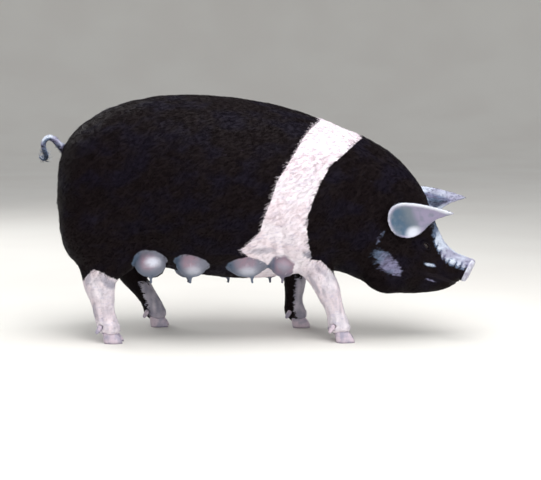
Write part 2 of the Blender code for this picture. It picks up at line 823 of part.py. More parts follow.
def build_eyes(head, collection):
    """The eyeballs, sunk in the head behind raised lids."""
    tree = tree_of(head)
    for name, side in SIDES.items():
        place, normal = on_surface(tree, EYE_X, EYE_Z, side)
        bm = bmesh.new()
        bmesh.ops.create_uvsphere(bm, u_segments=16, v_segments=9, radius=EYE_RADIUS)
        bmesh.ops.translate(bm, vec=place - normal * EYE_SINK, verts=bm.verts)
        eye = object_from(bm, f"eye_{name}", collection)
        rings = []
        for i in range(16):
            angle = 2 * math.pi * i / 16
            middle = Vector((math.cos(angle), math.sin(angle), 0))
            height = LID_HALF_HEIGHT * abs(middle.y) ** 0.35
            centre = Vector((middle.x * LID_HALF_LENGTH, middle.y * height, -LID_SINK))
            thick = LID_RADIUS * (1.0 - 0.35 * abs(middle.x) ** 3) * (1.0 + 0.2 * middle.y)
            rings.append(
                [
                    centre + thick * (middle * math.cos(a) * 1.25 + Vector((0, 0, 1)) * math.sin(a))
                    for a in (2 * math.pi * k / 6 for k in range(6))
                ]
            )
        along = (turned((EYE_X + 0.01, 0, EYE_Z - 0.004)) - turned((EYE_X, 0, EYE_Z))).normalized()
        across = normal.cross(along).normalized()
        along = across.cross(normal)
        frame = Matrix((along, across, normal)).transposed().to_4x4()
        frame.translation = place
        lid = closed_ring([[frame @ p for p in ring] for ring in rings], "lid", collection)
        boolean(head, lid, "UNION")
        boolean(head, swollen(eye, collection), "DIFFERENCE")


def closed_ring(rings, name, collection):
    """Skins a ring-shaped solid over rings of points that follow one another round."""
    bm = bmesh.new()
    loops = [[bm.verts.new(point) for point in ring] for ring in rings]
    count = len(rings[0])
    for one, two in zip(loops, loops[1:] + loops[:1]):
        for i in range(count):
            bm.faces.new((one[i], one[(i + 1) % count], two[(i + 1) % count], two[i]))
    return object_from(bm, name, collection)


def cut_mouth(head, collection):
    """Cuts the line of the mouth round the head as a shallow groove."""
    tree = tree_of(head)
    sides = {}
    for name, side in SIDES.items():
        points = [on_surface(tree, x, z, side)[0] for x, z in spline(MOUTH_LINE, 3)]
        sides[name] = [point for point in points if point]
    path = sides["left"] + sides["right"][::-1]
    rings = []
    for i, point in enumerate(path):
        along = (path[min(i + 1, len(path) - 1)] - path[max(i - 1, 0)]).normalized()
        across = along.cross(Vector((0, 0, 1))).normalized()
        over = along.cross(across)
        rings.append(
            [
                point + MOUTH_GROOVE * (across * math.cos(a) * 1.8 + over * math.sin(a) * 0.8)
                for a in (2 * math.pi * k / 6 for k in range(6))
            ]
        )
    boolean(head, loft(rings, "mouth", collection), "DIFFERENCE")


def in_bowl(rim, share):
    """A point on the ear's inside, some share of the way from its heart to a point of its rim."""
    heart, facing = Vector(EAR_HEART), Vector(EAR_FACING).normalized()
    out = facing * (rim - heart).dot(facing)
    return heart + (rim - heart - out) * share + out * share**EAR_BOWL


def ear_rings():
    """The rings of the left ear: up its inside to the rim, down its back and along its stem."""
    heart, facing = Vector(EAR_HEART), Vector(EAR_FACING).normalized()
    rim = [Vector(row) for row in spline((*EAR_RIM, EAR_RIM[0]), 2)[:-1]]
    inside = [[in_bowl(point, share) for point in rim] for share in EAR_SHARES]
    backs = []
    for share, ring in list(zip(EAR_SHARES, inside))[: -EAR_BACKS - 1 : -1]:
        back = []
        for i, point in enumerate(ring):
            outwards = point - in_bowl(rim[i], share - 0.04)
            normal = outwards.cross(ring[(i + 1) % len(ring)] - ring[i - 1]).normalized()
            if normal.dot(facing) > 0:
                normal.negate()
            back.append(point + normal * EAR_THICKNESS)
        backs.append(back)
    for stem in EAR_STEM:
        ring = []
        for point in rim:
            aside = point - heart - facing * (point - heart).dot(facing)
            reach = min(stem.radius, stem.most * aside.length)
            ring.append(Vector(stem.centre) + aside.normalized() * reach)
        backs.append(ring)
    return inside + backs


def build_ears(head, neck, collection):
    """The ears, cut to meet the head."""
    for name, side in SIDES.items():
        rings = [
            [turned((p.x, side * p.y, p.z + EAR_LIFT[name])) for p in ring] for ring in ear_rings()
        ]
        ear = loft(rings, f"ear_{name}", collection)
        for host in (head, neck):
            boolean(ear, swollen(host, collection), "DIFFERENCE")


def linear(channel):
    """Turns one sRGB channel, from 0 to 255, to linear light."""
    value = channel / 255
    return value / 12.92 if value <= 0.04045 else ((value + 0.055) / 1.055) ** 2.4


def finish(obj):
    """Gives an object its own material, from the colour and roughness of its kind."""
    colour, roughness = FINISHES[obj.name.split("_")[0]]
    made = bpy.data.materials.new(obj.name)
    made.use_nodes = True
    shader = made.node_tree.nodes["Principled BSDF"]
    channels = [linear(int(colour[i : i + 2], 16)) for i in (1, 3, 5)]
    shader.inputs["Base Color"].default_value = (*channels, 1)
    shader.inputs["Roughness"].default_value = roughness
    shader.inputs["Metallic"].default_value = 0.0
    obj.data.materials.clear()
    obj.data.materials.append(made)


def centre(objects):
    """Moves every object so that the origin lies under the middle of the whole animal."""
    points = [vertex.co for obj in objects for vertex in obj.data.vertices]
    low = Vector([min(point[i] for point in points) for i in range(3)])
    high = Vector([max(point[i] for point in points) for i in range(3)])
    middle = (low + high) / 2
    for obj in objects:
        obj.data.transform(Matrix.Translation((-middle.x, -middle.y, -low.z)))


def main():
    """Builds the sow, part by part."""
    clear_scene()
    parts = new_collection("sow")
    flesh = build_flesh(parts)
    add_glands(flesh, parts)
    torso, udder, neck, head = part_flesh(flesh, parts)
    add_teats(udder, parts)
    build_tail(torso, parts)
    for name, leg in LEGS.items():
        build_claws(name, leg, parts)
    build_snout(head, parts)
    build_eyes(head, parts)
    cut_mouth(head, parts)
    build_ears(head, neck, parts)
    for obj in parts.objects:
        finish(obj)
    centre(list(parts.objects))


if __name__ == "__main__":
    main()
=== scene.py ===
"""Looks of a life-size belted sow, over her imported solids: one skin, a bristle coat, eyes and claws."""

import json
import logging
import math
from collections.abc import Sequence
from dataclasses import dataclass, field
from enum import Enum

import bmesh
import bpy
import numpy as np
from bmesh.types import BMesh
from bpy.types import Material, Mesh, Node, NodeSocket, NodeTree, Object
from mathutils import Matrix, Vector
from mathutils.bvhtree import BVHTree

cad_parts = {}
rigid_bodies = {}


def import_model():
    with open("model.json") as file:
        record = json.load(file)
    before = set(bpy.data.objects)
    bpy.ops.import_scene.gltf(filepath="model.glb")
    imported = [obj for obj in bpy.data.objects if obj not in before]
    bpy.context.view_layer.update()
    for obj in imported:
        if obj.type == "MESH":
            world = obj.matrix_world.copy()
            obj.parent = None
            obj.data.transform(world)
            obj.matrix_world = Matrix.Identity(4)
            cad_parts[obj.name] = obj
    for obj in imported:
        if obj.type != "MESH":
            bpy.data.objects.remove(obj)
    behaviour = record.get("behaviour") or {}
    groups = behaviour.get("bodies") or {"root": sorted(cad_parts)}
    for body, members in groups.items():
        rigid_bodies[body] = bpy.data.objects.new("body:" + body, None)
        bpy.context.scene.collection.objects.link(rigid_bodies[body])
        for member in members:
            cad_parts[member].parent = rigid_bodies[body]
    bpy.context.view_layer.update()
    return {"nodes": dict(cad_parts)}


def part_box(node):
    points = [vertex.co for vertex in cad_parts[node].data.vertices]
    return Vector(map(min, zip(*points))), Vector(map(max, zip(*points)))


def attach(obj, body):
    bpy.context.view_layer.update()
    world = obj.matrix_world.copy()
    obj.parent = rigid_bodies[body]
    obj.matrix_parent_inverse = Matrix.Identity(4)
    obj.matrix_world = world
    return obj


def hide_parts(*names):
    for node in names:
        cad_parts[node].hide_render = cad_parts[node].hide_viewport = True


for leftover in list(bpy.data.objects):
    bpy.data.objects.remove(leftover)
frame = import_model()

# Everything is in metres. +X runs towards the snout, +Y is the sow's left side and +Z is up.
LOG = logging.getLogger("sow")
BODY = "root"
BAKE_MAP = "OFBake"
FLESH_WORDS = ("torso", "shoulders", "neck", "head", "udder", "snout", "tail", "leg", "ear", "eye")
UP = np.array((0.0, 0.0, 1.0))


class Side(Enum):
    """A side of the animal, as the sign of Y."""

    LEFT = 1
    RIGHT = -1


class Foot(Enum):
    """The four feet, by the end of their nodes' names."""

    HIND_RIGHT = "hind_right"
    HIND_LEFT = "hind_left"
    FORE_RIGHT = "fore_right"
    FORE_LEFT = "fore_left"


def linear(colour: str) -> tuple[float, float, float, float]:
    """Turns an sRGB hex colour to linear light.

    Args:
        colour: Six hex digits after a hash sign.

    Returns:
        Red, green and blue in linear light, with full alpha.
    """
    channels = [int(colour[i : i + 2], 16) / 255 for i in (1, 3, 5)]
    light = [c / 12.92 if c <= 0.04045 else ((c + 0.055) / 1.055) ** 2.4 for c in channels]
    return (light[0], light[1], light[2], 1.0)


def socket_of(sockets: bpy.types.bpy_prop_collection, name: str | int) -> NodeSocket:
    """Finds a node's socket by its number, its identifier or its shown name.

    Args:
        sockets: The node's inputs or outputs.
        name: The number, identifier or name.

    Returns:
        The socket that is in use.
    """
    if isinstance(name, int):
        return sockets[name]
    for socket in sockets:
        if socket.identifier == name:
            return socket
    return next(socket for socket in sockets if socket.enabled and socket.name == name)


def add_node(
    tree: NodeTree, kind: str, inputs: dict | None = None, **settings: object
) -> Node:
    """Adds a node to a tree, with its settings and its inputs.

    Args:
        tree: The node tree.
        kind: The node's type name.
        inputs: For each input, the socket to link to it or the value to set on it.
        **settings: The node's own properties.

    Returns:
        The new node.
    """
    made = tree.nodes.new(kind)
    for name, value in settings.items():
        setattr(made, name, value)
    for name, value in (inputs or {}).items():
        socket = socket_of(made.inputs, name)
        if isinstance(value, NodeSocket):
            tree.links.new(value, socket)
        else:
            socket.default_value = value
    return made


def mesh_of(bm: BMesh, name: str) -> Mesh:
    """Turns an edited mesh into a kept one, and frees it."""
    mesh = bpy.data.meshes.new(name)
    bm.to_mesh(mesh)
    bm.free()
    return mesh


def join_into(whole: BMesh, part: BMesh, name: str) -> None:
    """Adds one edited mesh to another, and frees the one that was added."""
    mesh = mesh_of(part, name)
    whole.from_mesh(mesh)
    bpy.data.meshes.remove(mesh)


def fade(values: np.ndarray, low: float, high: float) -> np.ndarray:
    """Rises smoothly from 0 to 1 as the values go from low to high.

    Args:
        values: Any numbers.
        low: Where the rise starts.
        high: Where it ends; below low, the rise runs the other way.

    Returns:
        Numbers from 0 to 1.
    """
    t = np.clip((values - low) / (high - low), 0.0, 1.0)
    return t * t * (3 - 2 * t)


def unit(vectors: np.ndarray) -> np.ndarray:
    """Gives rows of vectors the length 1.

    Args:
        vectors: One vector, or one in each row.

    Returns:
        The same directions at length 1.
    """
    return vectors / np.maximum(np.linalg.norm(vectors, axis=-1, keepdims=True), 1e-9)


def waves(points: np.ndarray, size: float, seed: int, count: int = 14) -> np.ndarray:
    """A smooth random swell through space, from plane waves in random directions.

    Args:
        points: Where to read it, one point in each row.
        size: The distance between neighbouring crests.
        seed: Fixes the random directions.
        count: How many waves are added.

    Returns:
        A number for each point, mostly between -1 and 1.
    """
    draw = np.random.default_rng(seed)
    ways = unit(draw.normal(size=(count, 3))) * (2 * math.pi / size)
    ways *= draw.uniform(0.7, 1.3, size=(count, 1))
    shifts = draw.uniform(0, 2 * math.pi, count)
    return np.cos(points @ ways.T + shifts).sum(axis=1) * math.sqrt(2 / count) * 0.7


def smooth_path(points: Sequence[Sequence[float]], per_span: int = 6) -> np.ndarray:
    """Reads a smooth curve through a few points.

    Args:
        points: The points that the curve passes, in order.
        per_span: How many steps lie between each pair.

    Returns:
        The curve's points, one in each row.
    """
    rows = np.array(points, float)
    ends = np.vstack((rows[:1], rows, rows[-1:]))
    read = []
    for i in range(1, len(ends) - 2):
        a, b, c, d = ends[i - 1 : i + 3]
        for t in np.linspace(0, 1, per_span, endpoint=False):
            bend = (2 * a - 5 * b + 4 * c - d) * t**2 + (3 * b - a - 3 * c + d) * t**3
            read.append(0.5 * (2 * b + (c - a) * t + bend))
    return np.vstack((read, rows[-1:]))


def distance_to_path(points: np.ndarray, path: np.ndarray) -> tuple[np.ndarray, np.ndarray]:
    """Measures points against a path of straight pieces.

    Args:
        points: One point in each row.
        path: The path's points, with as many numbers to a row.

    Returns:
        Each point's distance from the path, and how far along it the nearest place is, from 0 to 1.
    """
    best = np.full(len(points), np.inf)
    along = np.zeros(len(points))
    lengths = np.linalg.norm(np.diff(path, axis=0), axis=1)
    starts = np.concatenate(((0.0,), np.cumsum(lengths)))
    for i, (one, two) in enumerate(zip(path, path[1:])):
        way = two - one
        t = np.clip((points - one) @ way / max(way @ way, 1e-12), 0, 1)
        gap = np.linalg.norm(points - one - t[:, None] * way, axis=1)
        nearer = gap < best
        best = np.where(nearer, gap, best)
        along = np.where(nearer, (starts[i] + t * lengths[i]) / starts[-1], along)
    return best, along


@dataclass(frozen=True)
class NeckTurn:
    """The plain arc in which her neck swings the head to her right.

    Most places on her are stated on the straight animal and carried to the frame by this turn.
    """

    start: float = 0.30
    end: float = 0.58
    angle: float = math.radians(16)
    zero: float = -0.0031  # where the straight animal's x = 0 lies in the frame

    def angles(self, points: np.ndarray) -> np.ndarray:
        """The turn at each point of the frame, in radians to her right."""
        radius = (self.end - self.start) / self.angle
        ahead = points[:, 0] - self.zero - self.start
        return np.clip(np.arctan2(ahead, points[:, 1] + radius), 0, self.angle)

    def straighten(self, points: np.ndarray) -> np.ndarray:
        """Carries points of the frame back to the straight animal.

        Args:
            points: Points of the frame, one in each row.

        Returns:
            The same points on the straight animal.
        """
        radius = (self.end - self.start) / self.angle
        turn = self.angles(points)
        ahead = points[:, 0] - self.zero - self.start
        aside = points[:, 1] + radius
        beyond = ahead * np.cos(turn) - aside * np.sin(turn)
        across = ahead * np.sin(turn) + aside * np.cos(turn) - radius
        along = self.start + turn / self.angle * (self.end - self.start) + beyond
        return np.column_stack((along, across, points[:, 2]))

    def swing(self, vectors: np.ndarray, turn: np.ndarray) -> np.ndarray:
        """Turns directions of the straight animal with the neck.

        Args:
            vectors: Directions, one in each row.
            turn: The turn of the neck at each of them.

        Returns:
            The directions in the frame.
        """
        x, y, z = vectors.T
        ahead = x * np.cos(turn) + y * np.sin(turn)
        aside = y * np.cos(turn) - x * np.sin(turn)
        return np.column_stack((ahead, aside, z))

    def place(self, point: Sequence[float]) -> np.ndarray:
        """Carries one point of the straight animal to the frame.

        Args:
            point: A point on the straight animal.

        Returns:
            The point in the frame.
        """
        x, y, z = point
        radius = (self.end - self.start) / self.angle
        run = min(max(x - self.start, 0.0), self.end - self.start)
        beyond = x - self.start - run
        turn = self.angle * run / (self.end - self.start)
        along = self.start + (radius + y) * math.sin(turn) + beyond * math.cos(turn)
        across = (radius + y) * math.cos(turn) - radius - beyond * math.sin(turn)
        return np.array((along + self.zero, across, z))


NECK = NeckTurn()


class Surface:
    """A mesh's points, normals and links as arrays, to be worked on and written back."""

    def __init__(self, obj: Object) -> None:
        """Reads an object's mesh."""
        self.obj = obj
        self.read()

    def read(self) -> None:
        """Reads the points and edges again, after faces have changed."""
        mesh = self.obj.data
        self.points = np.zeros(len(mesh.vertices) * 3, np.float32)
        mesh.vertices.foreach_get("co", self.points)
        self.points = self.points.reshape(-1, 3).astype(float)
        self.edges = np.zeros(len(mesh.edges) * 2, np.int32)
        mesh.edges.foreach_get("vertices", self.edges)
        self.edges = self.edges.reshape(-1, 2)
        self.links = np.bincount(self.edges.ravel(), minlength=len(self.points)).astype(float)
        self.measure()

    def measure(self) -> None:
        """Writes the points to the mesh and reads its normals and its straightened places."""
        mesh = self.obj.data
        mesh.vertices.foreach_set("co", self.points.astype(np.float32).ravel())
        mesh.update()
        normals = np.zeros(len(mesh.vertices) * 3, np.float32)
        mesh.vertex_normals.foreach_get("vector", normals)
        self.normals = normals.reshape(-1, 3).astype(float)
        self.straight = NECK.straighten(self.points)
        self.turn = NECK.angles(self.points)
        self.straight_normals = NECK.swing(self.normals, -self.turn)

    def averaged(self, values: np.ndarray) -> np.ndarray:
        """The mean of each point's neighbours.

        Args:
            values: A number or a row of numbers for each point.

        Returns:
            The neighbours' mean, in the same form.
        """
        one, two = self.edges.T
        columns = values.reshape(len(values), -1)
        count = len(values)
        sums = [
            np.bincount(one, c[two], count) + np.bincount(two, c[one], count) for c in columns.T
        ]
        return (np.column_stack(sums) / self.links[:, None]).reshape(values.shape)

    def relax(self, rounds: int, share: np.ndarray | float) -> None:
        """Smooths the points.

        Args:
            rounds: How many times.
            share: How far each point goes to its neighbours' mean each time, from 0 to 1.
        """
        weight = np.broadcast_to(share, (len(self.points),))[:, None]
        for _ in range(rounds):
            self.points += (self.averaged(self.points) - self.points) * weight
        self.measure()

    def soften(self, values: np.ndarray, rounds: int) -> np.ndarray:
        """Blurs values over the surface.

        Args:
            values: A number or a row of numbers for each point.
            rounds: How many times they are averaged.

        Returns:
            The blurred values.
        """
        for _ in range(rounds):
            values = 0.5 * values + 0.5 * self.averaged(values)
        return values

    def raise_by(self, heights: np.ndarray) -> None:
        """Moves each point out along its normal by its height."""
        self.points += self.normals * heights[:, None]

    def store(self, name: str, values: np.ndarray) -> None:
        """Keeps values on the mesh as an attribute of its points.

        Args:
            name: The attribute's name.
            values: A number or a row of three for each point.
        """
        kind, key = ("FLOAT", "value") if values.ndim == 1 else ("FLOAT_VECTOR", "vector")
        made = self.obj.data.attributes.new(name, kind, "POINT")
        made.data.foreach_set(key, values.astype(np.float32).ravel())


def applied(obj: Object, kind: str, **settings: object) -> Object:
    """Applies one modifier to an object's mesh.

    Args:
        obj: The object.
        kind: The modifier's type.
        **settings: The modifier's properties.

    Returns:
        The same object.
    """
    modifier = obj.modifiers.new(kind.title(), kind)
    for name, value in settings.items():
        setattr(modifier, name, value)
    graph = bpy.context.evaluated_depsgraph_get()
    old = obj.data
    obj.data = bpy.data.meshes.new_from_object(obj.evaluated_get(graph))
    obj.modifiers.clear()
    bpy.data.meshes.remove(old)
    return obj


def new_object(name: str, mesh: Mesh) -> Object:
    """Puts a mesh into the scene as an object at the origin.

    Args:
        name: The object's name.
        mesh: Its mesh.

    Returns:
        The object.
    """
    obj = bpy.data.objects.new(name, mesh)
    bpy.context.scene.collection.objects.link(obj)
    return obj


def merged_copy(node: str) -> BMesh:
    """A copy of a node's mesh with its loose triangles joined at their corners.

    Args:
        node: The node's name.

    Returns:
        The joined mesh.
    """
    bm = bmesh.new()
    bm.from_mesh(frame["nodes"][node].data)
    bmesh.ops.remove_doubles(bm, verts=bm.verts, dist=1e-6)
    bm.normal_update()
    return bm


@dataclass(frozen=True)
class Crease:
    """A fold of skin: a groove along a path seen from the side, with soft ridges beside it.

    The path is stated as x and z on the straight animal, and lies on both sides unless one is named.
    """

    path: tuple[tuple[float, float], ...]
    depth: float
    width: float
    ridge: float = 0.45
    side: Side | None = None

    def heights(self, surface: Surface) -> np.ndarray:
        """How far each point of a surface rises or sinks for this fold.

        Args:
            surface: The skin.

        Returns:
            A height for each point, negative in the groove.
        """
        places = surface.straight
        path = smooth_path(self.path)
        low, high = path.min(axis=0) - 3 * self.width, path.max(axis=0) + 3 * self.width
        flat = places[:, (0, 2)]
        near = np.all((flat > low) & (flat < high), axis=1)
        if self.side:
            near &= places[:, 1] * self.side.value > 0
        outwards = surface.straight_normals[:, 1] * np.sign(places[:, 1])
        near &= outwards > 0
        heights = np.zeros(len(places))
        gap, along = distance_to_path(flat[near], path)
        groove = -self.depth * np.exp(-((gap / self.width) ** 2))
        ridge = self.ridge * self.depth * np.exp(-(((gap - 1.9 * self.width) / self.width) ** 2))
        taper = np.sqrt(np.sin(np.pi * np.clip(along, 0.02, 0.98)))
        heights[near] = (groove + ridge) * taper * fade(outwards[near], 0.05, 0.45)
        return heights


# Folds of the neck, face, elbow and flank, from behind the jowl forwards and then back
CREASES = (
    Crease(((0.512, 0.470), (0.478, 0.405), (0.446, 0.335), (0.420, 0.270), (0.402, 0.225)), 0.0050, 0.012),
    Crease(((0.452, 0.540), (0.425, 0.455), (0.396, 0.375), (0.372, 0.300)), 0.0032, 0.014),
    Crease(((0.392, 0.610), (0.350, 0.510), (0.322, 0.420), (0.300, 0.335)), 0.0030, 0.018),
    Crease(((0.606, 0.232), (0.566, 0.222), (0.528, 0.234), (0.496, 0.262)), 0.0026, 0.009),
    Crease(((0.660, 0.256), (0.644, 0.280), (0.630, 0.312)), 0.0024, 0.006),
    Crease(((0.690, 0.332), (0.668, 0.322), (0.646, 0.320), (0.622, 0.332)), 0.0018, 0.0045),
    Crease(((0.692, 0.318), (0.714, 0.296), (0.734, 0.268)), 0.0016, 0.0060),
    Crease(((0.600, 0.330), (0.585, 0.300), (0.580, 0.268)), 0.0018, 0.0070),
    Crease(((0.104, 0.430), (0.096, 0.370), (0.112, 0.310)), 0.0042, 0.012),
    Crease(((0.062, 0.405), (0.062, 0.352), (0.080, 0.300)), 0.0026, 0.010),
    Crease(((0.300, 0.660), (0.246, 0.580), (0.190, 0.500)), 0.0022, 0.026),
    Crease(((-0.418, 0.300), (-0.404, 0.375), (-0.424, 0.455)), 0.0050, 0.014, side=Side.RIGHT),
    Crease(((-0.366, 0.300), (-0.352, 0.375), (-0.372, 0.455)), 0.0050, 0.014, side=Side.LEFT),
    Crease(((-0.640, 0.330), (-0.612, 0.290), (-0.596, 0.240)), 0.0028, 0.012),
)


@dataclass(frozen=True)
class LegLine:
    """The middle line of a leg from the knee or hock down, as x and z, with the sow's side."""

    side: Side
    line: tuple[tuple[float, float], ...]
    wrinkles: tuple[float, ...]  # heights of the wrinkles round the joint and the pastern


LEG_LINES = {
    Foot.HIND_RIGHT: LegLine(
        Side.RIGHT,
        ((-0.563, 0.220), (-0.553, 0.155), (-0.537, 0.070), (-0.517, 0.026)),
        (0.232, 0.214, 0.084, 0.062),
    ),
    Foot.HIND_LEFT: LegLine(
        Side.LEFT,
        ((-0.484, 0.216), (-0.442, 0.152), (-0.396, 0.070), (-0.375, 0.026)),
        (0.230, 0.212, 0.084, 0.062),
    ),
    Foot.FORE_RIGHT: LegLine(
        Side.RIGHT,
        ((0.260, 0.205), (0.274, 0.172), (0.303, 0.074), (0.325, 0.026)),
        (0.192, 0.178, 0.164, 0.080, 0.060),
    ),
    Foot.FORE_LEFT: LegLine(
        Side.LEFT,
        ((0.149, 0.205), (0.151, 0.172), (0.147, 0.074), (0.170, 0.026)),
        (0.192, 0.178, 0.164, 0.080, 0.060),
    ),
}


@dataclass(frozen=True)
class EarPlaces:
    """Where each point of the skin lies in the bowl of its ear."""

    along: np.ndarray  # from the heart of the bowl towards its tip, in metres
    up: np.ndarray  # from the heart towards the upper rim, in metres
    out: np.ndarray  # from the heart out of the bowl, in metres
    share: np.ndarray  # 0 at the heart and 1 at the rim
    inside: np.ndarray  # 1 in the bowl and 0 on its back
    way: np.ndarray  # the way its hair lies, on the straight animal


@dataclass(frozen=True)
class Ears:
    """The ears' bowls on the straight animal's left side: their heart, way of facing and rim.

    The rim runs from the tip over the top, down the back and along below.
    """

    heart: tuple[float, float, float] = (0.590, 0.135, 0.430)
    facing: tuple[float, float, float] = (0.46, 0.84, -0.22)
    rim: tuple[tuple[float, float, float], ...] = (
        (0.762, 0.152, 0.478), (0.714, 0.158, 0.494), (0.662, 0.164, 0.506), (0.616, 0.172, 0.513),
        (0.576, 0.182, 0.514), (0.540, 0.191, 0.502), (0.520, 0.194, 0.472), (0.525, 0.189, 0.434),
        (0.552, 0.174, 0.399), (0.600, 0.152, 0.387), (0.637, 0.133, 0.400), (0.667, 0.124, 0.430),
        (0.702, 0.136, 0.456),
    )
    left_lift: float = 0.030  # how much higher the left ear stands
    bowl: float = 1.35  # 1 is a cone, and more is a rounder bowl
    rib: float = 0.0011  # height of the ribs inside the bowl

    def measure(self, surface: Surface) -> EarPlaces:
        """Reads where points lie on the ears.

        Args:
            surface: The skin.

        Returns:
            The places; they mean nothing away from the ears.
        """
        side = np.sign(surface.straight[:, 1])
        flip = np.column_stack((np.ones(len(side)), side, np.ones(len(side))))
        facing = unit(np.array(self.facing))
        tip = np.array(self.rim[0]) - self.heart
        along = unit(tip - facing * (tip @ facing))
        up = np.cross(along, facing)
        up *= np.sign(up[2])
        axes = np.column_stack((along, up))
        rim = smooth_path((*self.rim, self.rim[0]), 4)[:-1] - self.heart
        turns = np.arctan2(*(rim @ axes).T[::-1])
        reach = np.linalg.norm(rim @ axes, axis=1)
        order = np.argsort(turns)
        lift = np.where(side > 0, self.left_lift, 0.0)
        offset = surface.straight * flip - self.heart - lift[:, None] * UP
        flat = offset @ axes
        turn = np.arctan2(flat[:, 1], flat[:, 0])
        most = np.interp(turn, turns[order], reach[order], period=2 * math.pi)
        share = np.linalg.norm(flat, axis=1) / most
        brim = np.interp(turn, turns[order], (rim @ facing)[order], period=2 * math.pi)
        below = brim * share**self.bowl - offset @ facing
        inside = fade((surface.straight_normals * flip) @ facing, -0.12, 0.18) * fade(share, 1.14, 1.05)
        inside *= fade(below, 0.011, 0.006)
        way = unit(unit(flat) + (1.1, 0.15)) @ axes.T * flip
        return EarPlaces(flat[:, 0], flat[:, 1], offset @ facing, share, inside, way)

    def near(self, places: EarPlaces) -> np.ndarray:
        """How far each point is part of an ear or right beside one, from 0 to 1."""
        return fade(places.share, 1.30, 1.12) * fade(places.out, -0.050, -0.020)


@dataclass(frozen=True)
class Snout:
    """The disc at the end of the muzzle, on the straight animal, with its two nostrils."""

    top: tuple[float, float] = (0.812, 0.297)
    low: tuple[float, float] = (0.774, 0.216)
    half_width: float = 0.050
    nostril_spread: float = 0.0200
    nostril_half: tuple[float, float] = (0.0078, 0.0112)
    nostril_depth: float = 0.0150
    rim: float = 0.0014

    def axes(self) -> tuple[np.ndarray, np.ndarray, np.ndarray]:
        """The middle of the disc, the way up it and the way out of it."""
        top = np.array((self.top[0], 0.0, self.top[1]))
        low = np.array((self.low[0], 0.0, self.low[1]))
        up = unit(top - low)
        return (top + low) / 2, up, np.array((up[2], 0.0, -up[0]))

    def measure(self, surface: Surface) -> tuple[np.ndarray, np.ndarray, np.ndarray]:
        """Places seen square to the disc: across, up and out from its middle."""
        middle, up, out = self.axes()
        offset = surface.straight - middle
        return offset[:, 1], offset @ up, offset @ out

    def edge(self, across: np.ndarray, rise: np.ndarray) -> np.ndarray:
        """How far from the middle of the disc places are: 1 at its edge."""
        half_height = math.hypot(self.top[0] - self.low[0], self.top[1] - self.low[1]) / 2
        return np.hypot(across / self.half_width, rise / half_height)

    def shape(self, surface: Surface) -> None:
        """Presses in the nostrils, raises their rims and the disc's edge, and wrinkles its face.

        Args:
            surface: The skin, fine enough at the disc.
        """
        across, rise, out = self.measure(surface)
        _, _, out_way = self.axes()
        facing = fade(surface.straight_normals @ out_way, 0.2, 0.6) * fade(out, -0.004, 0.004)
        edge = self.edge(across, rise)
        shift = self.rim * np.exp(-(((edge - 0.86) / 0.09) ** 2)) * facing
        shift -= 0.0009 * np.exp(-((across / 0.0035) ** 2)) * fade(edge, 0.8, 0.4) * facing
        shift += 0.00035 * waves(surface.straight, 0.006, 41) * facing * fade(edge, 1.1, 0.9)
        for side in Side:
            wide, high = self.nostril_half
            lean = across - side.value * (self.nostril_spread + 0.25 * rise)
            hole = np.sqrt((lean / wide) ** 2 + (rise / high) ** 2)
            sunk = np.sqrt(np.clip(1 - hole**2, 0, 1))
            shift -= self.nostril_depth * sunk * fade(out, -0.004, 0.002)
            shift += 0.0013 * np.exp(-(((hole - 1.30) / 0.22) ** 2)) * facing
        way = NECK.swing(np.broadcast_to(out_way, surface.points.shape), surface.turn)
        surface.points += way * shift[:, None]


